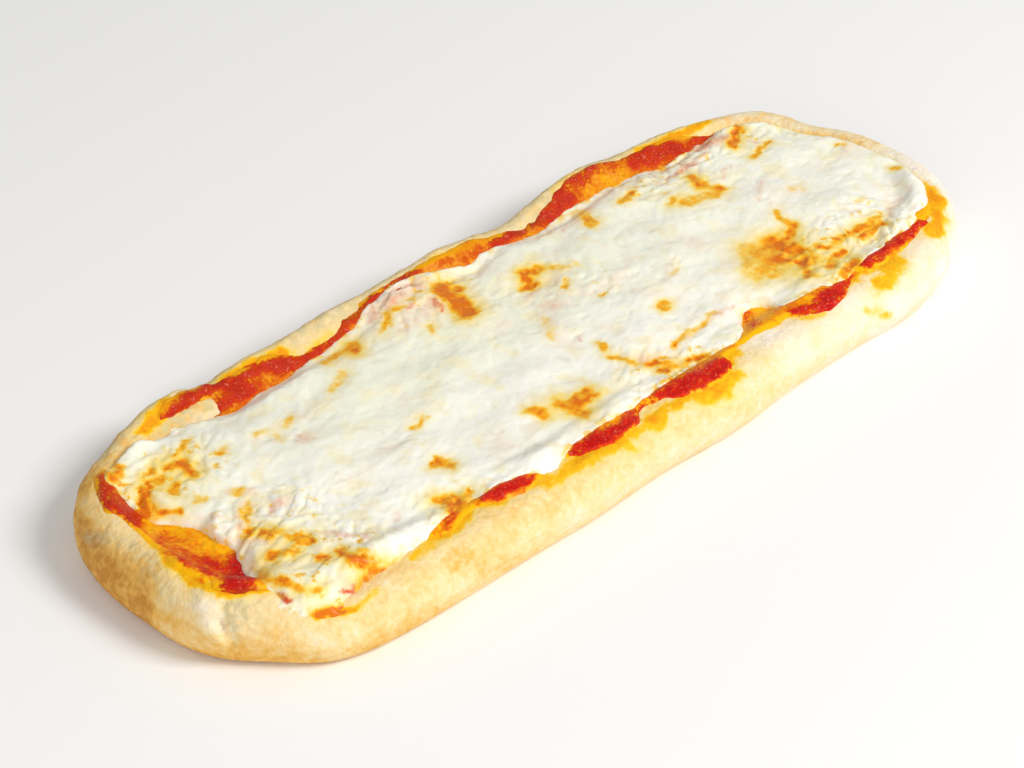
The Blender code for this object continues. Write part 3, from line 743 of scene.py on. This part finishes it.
class Paint:
    """A material and the nodes that make it."""

    def __init__(self, name):
        self.material = bpy.data.materials.new(name)
        self.material.use_nodes = True
        self.nodes = self.material.node_tree.nodes
        self.links = self.material.node_tree.links
        self.nodes.clear()

    def node(self, kind, settings=None, values=None, output=0):
        """Adds a node, sets what it is, then gives its sockets values or links. Returns one output, if it has
        any."""
        node = self.nodes.new(kind)
        for name, value in (settings or {}).items():
            if name == "stops":
                self.set_stops(node.color_ramp, value)
            else:
                setattr(node, name, value)
        for name, value in (values or {}).items():
            if isinstance(value, Channel):
                self.links.new(value.socket, node.inputs[name])
            else:
                node.inputs[name].default_value = value
        return Channel(self, node.outputs[output]) if node.outputs else None

    def set_stops(self, ramp, stops):
        """A ramp's colours, each with its place."""
        while len(ramp.elements) < len(stops):
            ramp.elements.new(1.0)
        for element, (place, shade) in zip(ramp.elements, stops, strict=True):
            element.position = place
            element.color = (*shade, 1.0)

    def mark(self, name):
        """A value that the mesh carries."""
        return self.node("ShaderNodeAttribute", {"attribute_name": name}, output="Fac")

    def grain(self, size, detail=3.0, seed=0.0):
        """Noise from 0 to 1 whose bumps are of that size, in the piece's own coordinates."""
        place = self.node("ShaderNodeTexCoord", output="Object")
        settings = {"noise_dimensions": "4D"}
        values = {"Vector": place, "W": seed, "Scale": 1 / size, "Detail": detail, "Roughness": 0.55}
        return self.node("ShaderNodeTexNoise", settings, values, output="Fac")

    def strands(self, length, width, seed):
        """Noise drawn out along one way, as the folds of stretched cheese are."""
        place = self.node("ShaderNodeTexCoord", output="Object")
        settings = {"vector_type": "POINT"}
        values = {"Vector": place, "Rotation": (0.0, 0.0, -0.55), "Scale": (width / length, 1.0, 1.0)}
        drawn = self.node("ShaderNodeMapping", settings, values)
        values = {"Vector": drawn, "W": seed, "Scale": 0.3 / width, "Detail": 5.0, "Distortion": 1.2}
        return self.node("ShaderNodeTexNoise", {"noise_dimensions": "4D"}, values, output="Fac")

    def ramp(self, factor, *stops):
        """A colour for each value, blended between the stops, which are places and colours."""
        return self.node("ShaderNodeValToRGB", {"stops": stops}, {"Fac": factor}, output="Color")

    def mix(self, factor, first, second):
        """One colour laid over another by a factor."""
        settings = {"data_type": "RGBA", "blend_type": "MIX"}
        values = {}
        for number, value in ((0, factor), (6, first), (7, second)):
            values[number] = value if isinstance(value, (Channel, float)) else (*value, 1.0)
        return self.node("ShaderNodeMix", settings, values, output=2)

    def bump(self, height, distance, strength):
        """The normal of a surface that stands out by a height times a distance."""
        values = {"Height": height, "Distance": distance, "Strength": strength}
        return self.node("ShaderNodeBump", None, values, output="Normal")

    def finish(self, values):
        """The shader and the output."""
        shader = self.node("ShaderNodeBsdfPrincipled", None, values, output="BSDF")
        self.node("ShaderNodeOutputMaterial", None, {"Surface": shader})
        return self.material


def stains(paint, mark, spread):
    """A mark whose strength and outline are broken up by noise, as oil soaks in."""
    broken = paint.grain(0.0042, 3.0, seed=3.0) * 1.8 + paint.grain(0.0016, 2.5, seed=5.0) * 1.3 - 1.55
    return mark * (broken * spread + 1.0)


def dough_material(settings):
    """Pale dough that bakes to tan and brown, with painted light and shade in its bake mark, dusted and
    pored, with yellow and orange stains.
    """
    paint = Paint("baked_dough")
    # The bake mark also holds the dough's painted light and shade
    mark = paint.mark("bake")
    speckle = (paint.grain(0.0018, 4.0, seed=2.0) - 0.5) * (mark * 1.2 + 0.08)
    bake = mark + paint.grain(0.009, 4.0, seed=1.0) * 0.60 - 0.30 + speckle
    pale, golden, tan, brown = settings.pale, settings.golden, settings.tan, settings.brown
    baked = paint.ramp(bake, (0.0, pale), (0.35, golden), (0.65, tan), (1.0, brown))
    dust = paint.mark("dust") * paint.grain(0.0024, 4.0, seed=4.0).between(0.30, 0.62)
    baked = paint.mix(dust, baked, settings.dust)
    film = paint.mark("film") * paint.grain(0.0040, 4.0, seed=8.0).between(0.30, 0.55)
    baked = paint.mix(film, baked, settings.film)
    stain = stains(paint, paint.mark("stain"), 0.8)
    yellow, orange_yellow, orange = settings.yellow, settings.orange_yellow, settings.orange
    soaked = paint.ramp(stain, (0.10, yellow), (0.55, orange_yellow), (1.0, orange))
    colour = paint.mix(stain.between(0.02, 0.60), baked, soaked)
    fine = paint.grain(0.0010, 4.0, seed=6.0) + paint.grain(0.0035, 3.0, seed=7.0) * 1.6
    return paint.finish(
        {
            "Base Color": colour,
            "Roughness": 0.78 - stain.between(0.2, 0.8) * 0.25,
            "Normal": paint.bump(fine, 0.00045, 0.9),
            "Subsurface Weight": 0.15,
            "Subsurface Radius": (1.0, 0.6, 0.35),
            "Subsurface Scale": 0.0012,
            "Specular IOR Level": 0.12,
        }
    )


def sauce_material(settings):
    """Tomato sauce: orange where it is thin and oily, deep red where it is thick, with a wet grain, painted
    glints and painted shade over its far half.
    """
    paint = Paint("tomato_sauce")
    fleck = paint.grain(0.0010, 4.0, seed=2.0)
    cloud = (paint.grain(0.0050, 4.0, seed=1.0) - 0.5) * 1.1 + (fleck - 0.5) * 1.1
    red = paint.mark("red") * (cloud * 1.5 + 0.86) + cloud * 0.60 + 0.08
    red = red - paint.mark("thin") * paint.grain(0.0060, 3.0, seed=5.0).between(0.38, 0.60) * 0.5
    orange, deep = settings.orange, settings.deep
    colour = paint.ramp(red, (0.0, settings.oily), (0.30, orange), (0.60, settings.red), (0.92, deep))
    # The brown mark also darkens the far half as painted shade
    colour = paint.mix(paint.mark("brown") * 0.8, colour, settings.brown)
    # Painted highlights: the tips of the grain are painted lighter
    painted_glint = fleck.between(0.55, 0.70) * red.between(0.45, 0.9) * 0.60
    colour = paint.mix(painted_glint, colour, settings.painted_glint)
    grain = paint.grain(0.0011, 5.0, seed=3.0) + paint.grain(0.0005, 3.0, seed=4.0) * 0.4
    wet = red.between(0.2, 0.7)
    return paint.finish(
        {
            "Base Color": colour,
            "Roughness": 0.40 - wet * 0.16,
            "Normal": paint.bump(grain * (wet * 0.8 + 0.2), 0.0006, 0.9),
            "Specular IOR Level": 0.12,
        }
    )


def cheese_material(settings):
    """Melted cheese: cream with cooler, thinner places, painted shade along its folds, yellow to brown stains
    and pink blushes.
    """
    paint = Paint("melted_cheese")
    cloud = paint.grain(0.020, 3.0, seed=1.0) * 0.9 + paint.grain(0.0040, 4.0, seed=2.0) * 0.7 - 0.8
    cool = (paint.mark("cool") + cloud).between(-0.1, 1.0)
    white = paint.mix(cool, settings.cream, settings.cool)
    dip = paint.mark("dip")
    butter = (paint.grain(0.0075, 4.0, seed=12.0) + dip * 0.14).between(0.50, 0.70)
    white = paint.mix(butter * 0.75, white, settings.butter)
    peach = paint.grain(0.0110, 5.0, seed=25.0).between(0.52, 0.74) * 0.5
    white = paint.mix(peach, white, settings.peach)
    haze = (paint.mark("haze") * 1.6 * paint.grain(0.0045, 4.0, seed=30.0)).between(0.04, 0.60)
    white = paint.mix(haze, white, settings.haze)
    # The folds are darkened along their grooves as painted shade
    shaded_folds = paint.strands(0.0034, 0.0016, seed=9.0).between(0.54, 0.74) * 0.45
    white = paint.mix(shaded_folds, white, settings.fold_shade)
    rose = paint.grain(0.0052, 5.0, seed=17.0).between(0.55, 0.85)
    blush = stains(paint, paint.mark("blush"), 1.0) + rose * dip * 0.42
    faint, red = settings.pale_blush, settings.red_blush
    rosy = paint.ramp(blush, (0.10, faint), (0.50, settings.blush), (0.90, red))
    colour = paint.mix(blush.between(0.0, 0.95), white, rosy)
    freckle = paint.grain(0.0034, 5.0, seed=8.0).between(0.58, 0.80) * (dip * 0.60 + 0.07)
    mosaic = paint.grain(0.0027, 3.0, seed=21.0).between(0.50, 0.74) * (paint.mark("formed") - 0.12)
    fringe = paint.mark("thin") * paint.grain(0.0040, 4.0, seed=41.0).between(0.44, 0.62) * 0.45
    stain = stains(paint, paint.mark("stain"), 1.0) + freckle + mosaic * 0.85 + fringe
    pale, yellow, orange = settings.pale_stain, settings.yellow_stain, settings.orange_stain
    scorched = paint.ramp(stain, (0.05, pale), (0.34, yellow), (0.70, orange), (1.0, settings.brown_stain))
    colour = paint.mix(stain.between(0.0, 0.60), colour, scorched)
    fine = paint.grain(0.0026, 4.0, seed=6.0) + paint.grain(0.0009, 3.0, seed=7.0) * 0.25 - shaded_folds * 0.3
    return paint.finish(
        {
            "Base Color": colour,
            "Roughness": 0.42 - stain.between(0.2, 0.7) * 0.08,
            "Normal": paint.bump(fine, 0.0006, 0.36),
            "Subsurface Weight": 0.30,
            "Subsurface Radius": (1.0, 0.85, 0.6),
            "Subsurface Scale": 0.0014,
            "Specular IOR Level": 0.24,
        }
    )


def tint(name, description, shade):
    """A colour that the user can change."""
    return FloatVectorProperty(
        name=name, description=description, subtype="COLOR", size=3, min=0.0, max=1.0, default=linear(*shade)
    )


class DoughSettings(bpy.types.PropertyGroup):
    relief: FloatProperty(
        name="Relief", description="How high the dough's bumps are", default=0.00042, min=0.0, unit="LENGTH"
    )
    pale: tint("Pale", "Dough that has hardly coloured", (253, 242, 229))
    golden: tint("Golden", "Lightly baked dough", (249, 221, 162))
    tan: tint("Tan", "Well baked dough", (240, 189, 96))
    brown: tint("Brown", "Dough browned by the oven's floor", (206, 144, 62))
    # Also the colour of the greyer band along the far rim
    dust: tint("Dust", "Flour and grey dust in the creases", (214, 200, 154))
    film: tint("Film", "Cheese that has run thin over the rim", (244, 236, 208))
    yellow: tint("Yellow stain", "Where oil has spread thin", (254, 226, 110))
    orange_yellow: tint("Orange-yellow stain", "Where oil has soaked in", (254, 196, 22))
    orange: tint("Orange stain", "Dough next to the sauce", (244, 156, 14))


class SauceSettings(bpy.types.PropertyGroup):
    oily: tint("Oily", "Thin, oily sauce", (255, 186, 8))
    orange: tint("Orange", "Sauce over the dough", (240, 122, 4))
    red: tint("Red", "Thick sauce", (232, 46, 8))
    deep: tint("Deep red", "The thickest sauce", (196, 16, 10))
    # Also the colour of the painted shade over the far half
    brown: tint("Brown", "Sauce caught by the heat", (160, 70, 10))
    # A painted highlight
    painted_glint: tint("Spark", "The lit tips of the sauce's grain", (250, 132, 96))


class CheeseSettings(bpy.types.PropertyGroup):
    seed: IntProperty(name="Seed", description="Which shreds fall where", default=5, min=0)
    shreds: IntProperty(name="Shreds", description="How many shreds show", default=900, min=0)
    shred_height: FloatProperty(
        name="Shred height", description="How far a shred stands up", default=0.0007, min=0.0, unit="LENGTH"
    )
    cream: tint("Cream", "Thick cheese", (255, 252, 238))
    cool: tint("Cool", "Thin cheese over the sauce", (241, 243, 222))
    butter: tint("Butter", "Where the fat has run out of it", (250, 238, 196))
    peach: tint("Peach", "Where the sauce's oil has tinged it", (250, 226, 204))
    # The colour of the painted shade in the folds
    fold_shade: tint("Vein", "The folds of stretched cheese", (212, 200, 178))
    haze: tint("Haze", "Fat run out round a stain", (250, 224, 140))
    pale_stain: tint("Pale stain", "The rim of a stain", (252, 232, 164))
    yellow_stain: tint("Yellow stain", "Oil on the cheese", (249, 208, 70))
    orange_stain: tint("Orange stain", "Scorched cheese", (246, 172, 24))
    brown_stain: tint("Brown stain", "The middle of a scorched spot", (226, 118, 6))
    pale_blush: tint("Pale blush", "Sauce under the cheese", (244, 218, 200))
    blush: tint("Blush", "Sauce close under the cheese", (234, 176, 146))
    red_blush: tint("Red blush", "Sauce breaking through", (214, 84, 32))


class StageSettings(bpy.types.PropertyGroup):
    floor_size: FloatProperty(
        name="Floor", description="The side of the floor", default=6.0, min=0.5, unit="LENGTH"
    )
    floor_colour: tint("Floor colour", "The plain floor", (250, 250, 250))
    key_power: FloatProperty(
        name="Key", description="The large soft lamp", default=15.5, min=0.0, unit="POWER"
    )
    fill_power: FloatProperty(
        name="Fill", description="The lamp opposite", default=5.5, min=0.0, unit="POWER"
    )
    sky: FloatProperty(name="Sky", description="How bright the room is", default=0.40, min=0.0)


def dough_section(plan):
    """The insets and heights of the dough's rings: the flat underside, the foot as a quarter of an ellipse
    out and up to the belly, the wall in to the rim, the slope and the floor. Also how many come before the
    slope."""
    belly = BELLY * plan.rim_height
    flat = np.array([plan.reach, plan.reach * 0.5, np.full(STATIONS, FOOT)])
    rise = np.linspace(-0.5 * np.pi, 0.0, DOUGH_RINGS["foot"])[1:, None]
    foot = FOOT * (1 - np.cos(rise)) + 0 * belly
    bend = np.linspace(0.0, 0.5 * np.pi, DOUGH_RINGS["wall"])[1:, None]
    slope = np.linspace(0.0, SLOPE_RUN, DOUGH_RINGS["slope"])[1:, None]
    over = np.concatenate([plan.rim_inset * (1 - np.cos(bend)), plan.rim_inset + slope])
    over = np.concatenate([over, plan.inward(over[-1], DOUGH_RINGS["floor"])[1:]])
    inset = np.concatenate([flat, foot, over])
    height = np.concatenate([0 * flat, belly * (1 + np.sin(rise)), plan.dough(over)])
    return inset, height, len(flat) + len(foot) + len(bend)


def dough_bake_and_painted_light(rings, way, shown):
    """How much the dough has coloured, with painted light and shade laid in: least on the near side and at
    the right, whose paleness there is painted light; more where it faces away at the far side and along the
    left end's edge at the back, both painted shade, and at the left end and low on the wall; and most in the
    browned places."""
    x, y, z = np.moveaxis(rings, -1, 0)
    at_x, at_y = seen(x, y, z)
    far = between(y, FAR_SIDE)
    left = between(x, LEFT_END)
    # The right half is made paler as painted light
    right = between(x, PAINTED_LIGHT_RIGHT_HALF)
    near = between(y, NEAR_WALL) * between(z, NEAR_WALL_TOP) * between(z, NEAR_WALL_FOOT)
    # The left end's edge at the back is darkened as painted shade
    edge = between(x, SHADED_LEFT_EDGE) * between(y, SHADED_LEFT_EDGE_BACK)
    top = 0.30 + 0.08 * far + 0.06 * left + 0.10 * near - 0.25 * right * (1 - far) + 0.34 * edge
    low = (0.07 + 0.07 * left) * between(z, LOW_WALL) + 0.16 * left * between(z, FOOT_WALL)
    # Dough that faces back is darkened as painted shade; the underside is darker too
    hidden = 0.22 * between(way[..., 1], SHADED_FACING_BACK) + 0.3 * between(z, UNDERSIDE)
    # Less browned where it is paler; beside the left end's long crease this is a painted highlight
    browned = marked(at_x, at_y, BROWNED) - 0.12 * marked(at_x, at_y, PALER_AND_HIGHLIT)
    return top + low + hidden + shown * browned


def covered(under, over):
    """One coat laid over another, as layers of paint are."""
    return 1 - (1 - under) * (1 - over)


class FLATBREAD_OT_dough(bpy.types.Operator):
    """Makes the dough: a flat underside, a rounded foot and wall, an uneven rim and the hollow inside it"""

    bl_idname = "flatbread.dough"
    bl_label = "Dough"

    def execute(self, context):
        settings = context.scene.flatbread_dough
        plan = Plan()
        inset, z, walled = dough_section(plan)
        rings = np.stack([*plan.at(inset), z], -1)
        way = around(rings)
        way[walled:] = (0.0, 0.0, 1.0)
        x, y, z = np.moveaxis(rings, -1, 0)
        at_x, at_y = seen(x, y, z)
        shown = between(way @ TOWARD_CAMERA, FACING_CAMERA)
        placed = rings + way * dough_relief(x, y, z, settings.relief)[..., None]
        placed[..., 2] = np.where(z <= 0, 0.0, np.maximum(placed[..., 2], 0.0))
        cover = sauce_cover(plan, inset, x, y, z)
        patchy = eased(0.5 + 1.2 * noise(rings, 0.009, 51))
        halo = (0.60 - 0.35 * between(y, FAR_HALF)) * patchy * np.exp(np.minimum(cover, 0) / OIL_SPREAD)
        # A greyer band along the far rim, where it faces the camera
        grey = 0.72 * shown * between(y, GREY_RIM) * between(x, GREY_RIM_END)
        marks = {
            "stain": covered(halo, shown * marked(at_x, at_y, DOUGH_STAINS)),
            "bake": dough_bake_and_painted_light(rings, way, shown),
            "dust": covered(grey, shown * marked(at_x, at_y, DUSTY)),
            "film": shown * marked(at_x, at_y, FILMED),
        }
        piece = finished_piece("dough_base", placed, plan, marks, dough_material(settings))
        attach(piece, "root")
        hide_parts("crust")
        return {"FINISHED"}


def underside(plan, start, depth):
    """The rings of a layer's underside, from the spine out to near its edge, a depth under the dough."""
    inset = plan.inward(start + UNDERCUT, UNDER_RINGS)[::-1]
    return np.stack([*plan.at(inset), plan.dough(inset) - depth], -1)


class FLATBREAD_OT_sauce(bpy.types.Operator):
    """Makes the sauce: a thin wet layer over the dough, which shows outside the cheese"""

    bl_idname = "flatbread.sauce"
    bl_label = "Sauce"

    def execute(self, context):
        settings = context.scene.flatbread_sauce
        relief = context.scene.flatbread_dough.relief
        plan = Plan()
        start = np.maximum(plan.sauce_inset - OVERLAP["sauce"], LEAST_INSET["sauce"])
        over = start + np.linspace(0.0, SAUCE_RUN, SAUCE_RINGS["edge"])[:, None]
        over = np.concatenate([over, plan.inward(over[-1], SAUCE_RINGS["middle"])[1:]])
        x, y, z, cover = sauce_surface(plan, over, relief)
        low = underside(plan, start, 2 * DIVE)
        rings = np.concatenate([low, np.stack([x, y, z], -1)])
        x, y, z = np.moveaxis(rings, -1, 0)
        at_x, at_y = seen(x, y, z)
        inside = np.concatenate([np.ones(low.shape[:2]), cover])
        marks = {
            "red": marked(at_x, at_y, SAUCE_REDS),
            "thin": 1 - eased(inside / FADE["sauce"]),
            # The far half is darkened towards brown as painted shade; the strokes are where the heat has
            # caught it
            "brown": covered(0.34 * between(y, FAR_HALF), marked(at_x, at_y, SAUCE_BROWNS)),
        }
        piece = finished_piece("sauce_layer", rings, plan, marks, sauce_material(settings))
        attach(piece, "root")
        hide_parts("sauce")
        return {"FINISHED"}


def cheese_coolness(x, y):
    """How cool the cheese's white is: most in the middle and on the far half, least on the near side."""
    off_x, off_y = np.abs(x - CHEESE_MIDDLE[0]), np.abs(y - CHEESE_MIDDLE[1])
    middle = between(off_y, MIDDLE_WIDTH) * between(off_x, MIDDLE_LENGTH)
    cool = 0.25 + 0.45 * middle + 0.25 * between(y, FAR_HALF) - 0.35 * between(y, CHEESE_NEAR)
    return np.clip(cool, 0, 1)


class FLATBREAD_OT_cheese(bpy.types.Operator):
    """Makes the cheese: a melted sheet with shreds, wrinkles, pits and an uneven edge"""

    bl_idname = "flatbread.cheese"
    bl_label = "Cheese"

    def execute(self, context):
        settings = context.scene.flatbread_cheese
        relief = context.scene.flatbread_dough.relief
        plan = Plan()
        start = np.maximum(plan.cheese_inset - OVERLAP["cheese"], LEAST_INSET["cheese"])
        over = plan.inward(start, CHEESE_RINGS, CHEESE_CROWDING)
        x, y, z, cover, formed, ridges = cheese_surface(plan, over, relief, settings)
        low = underside(plan, start, DIVE)
        rings = np.concatenate([low, np.stack([x, y, z], -1)])
        at_x, at_y = seen(x, y, z)
        halos = [(*mark[:4], 2.4 * mark[4], 0.6 * mark[5]) for mark in CHEESE_STAINS]
        marks = {
            "stain": marked(at_x, at_y, CHEESE_STAINS),
            "blush": marked(at_x, at_y, CHEESE_BLUSHES),
            "haze": marked(at_x, at_y, halos),
            "cool": cheese_coolness(x, y),
            "formed": formed,
            "dip": formed * (1 - ridges),
            "thin": 1 - eased(cover / FADE["cheese"]),
        }
        hidden = np.zeros(low.shape[:2])
        marks = {name: np.concatenate([hidden, values]) for name, values in marks.items()}
        piece = finished_piece("cheese_sheet", rings, plan, marks, cheese_material(settings))
        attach(piece, "root")
        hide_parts("cheese")
        return {"FINISHED"}


def lamp(name, power, place, size, shade):
    """A square lamp that faces the middle of the flatbread."""
    light = bpy.data.lights.new(name, "AREA")
    light.shape = "SQUARE"
    light.size = size
    light.energy = power
    light.color = shade
    holder = bpy.data.objects.new(name, light)
    holder.location = place
    holder.rotation_euler = (-Vector(place)).to_track_quat("-Z", "Y").to_euler()
    bpy.context.scene.collection.objects.link(holder)


class FLATBREAD_OT_stage(bpy.types.Operator):
    """Makes the plain floor, the lamps, the room's light and the camera"""

    bl_idname = "flatbread.stage"
    bl_label = "Stage"

    def execute(self, context):
        settings = context.scene.flatbread_stage
        half = 0.5 * settings.floor_size
        corners = [(-half, -half, 0.0), (half, -half, 0.0), (half, half, 0.0), (-half, half, 0.0)]
        mesh = bpy.data.meshes.new("floor")
        mesh.from_pydata(corners, [], [(0, 1, 2, 3)])
        floor = bpy.data.objects.new("floor", mesh)
        context.scene.collection.objects.link(floor)
        paint = Paint("plain_floor")
        cloud = paint.grain(0.6, 2.0)
        shade = paint.mix(cloud * 0.1, settings.floor_colour, linear(240, 240, 240))
        finish = {"Base Color": shade, "Roughness": 0.9, "Specular IOR Level": 0.0}
        mesh.materials.append(paint.finish(finish))

        lamp("key", settings.key_power, *KEY_LAMP)
        lamp("fill", settings.fill_power, *FILL_LAMP)
        world = bpy.data.worlds.new("room")
        world.use_nodes = True
        room = world.node_tree.nodes["Background"]
        room.inputs["Color"].default_value = (1.0, 1.0, 1.0, 1.0)
        room.inputs["Strength"].default_value = settings.sky
        context.scene.world = world
        context.scene.view_settings.view_transform = "Standard"

        camera = bpy.data.objects.new("camera", bpy.data.cameras.new("camera"))
        back = Vector(TOWARD_CAMERA)
        aim = Vector((*(-Plan().middle), 0.0))
        camera.location = aim + VIEW_DISTANCE * back
        camera.rotation_euler = (-back).to_track_quat("-Z", "Y").to_euler()
        camera.data.sensor_width = SENSOR
        camera.data.lens = FOCUS_PIXELS / PICTURE_WIDTH * SENSOR
        camera.data.shift_x = (0.5 * PICTURE_WIDTH - CENTRE_PIXEL) / PICTURE_WIDTH
        camera.data.clip_start = 0.01
        context.scene.collection.objects.link(camera)
        context.scene.camera = camera
        return {"FINISHED"}


class FLATBREAD_PT_panel(bpy.types.Panel):
    """The flatbread's steps and settings"""

    bl_idname = "FLATBREAD_PT_panel"
    bl_label = "Flatbread"
    bl_space_type = "VIEW_3D"
    bl_region_type = "UI"
    bl_category = "Flatbread"

    def draw(self, context):
        for name, group, operator in STEPS:
            box = self.layout.box()
            box.operator(operator.bl_idname)
            settings = getattr(context.scene, name)
            for field in group.__annotations__:
                box.prop(settings, field)


STEPS = (
    ("flatbread_dough", DoughSettings, FLATBREAD_OT_dough),
    ("flatbread_sauce", SauceSettings, FLATBREAD_OT_sauce),
    ("flatbread_cheese", CheeseSettings, FLATBREAD_OT_cheese),
    ("flatbread_stage", StageSettings, FLATBREAD_OT_stage),
)


def register():
    for name, group, operator in STEPS:
        bpy.utils.register_class(group)
        bpy.utils.register_class(operator)
        setattr(bpy.types.Scene, name, PointerProperty(type=group))
    bpy.utils.register_class(FLATBREAD_PT_panel)


def unregister():
    bpy.utils.unregister_class(FLATBREAD_PT_panel)
    for name, group, operator in reversed(STEPS):
        delattr(bpy.types.Scene, name)
        bpy.utils.unregister_class(operator)
        bpy.utils.unregister_class(group)


def main():
    register()
    bpy.ops.flatbread.dough()
    bpy.ops.flatbread.sauce()
    bpy.ops.flatbread.cheese()
    bpy.ops.flatbread.stage()


if __name__ == "__main__":
    main()
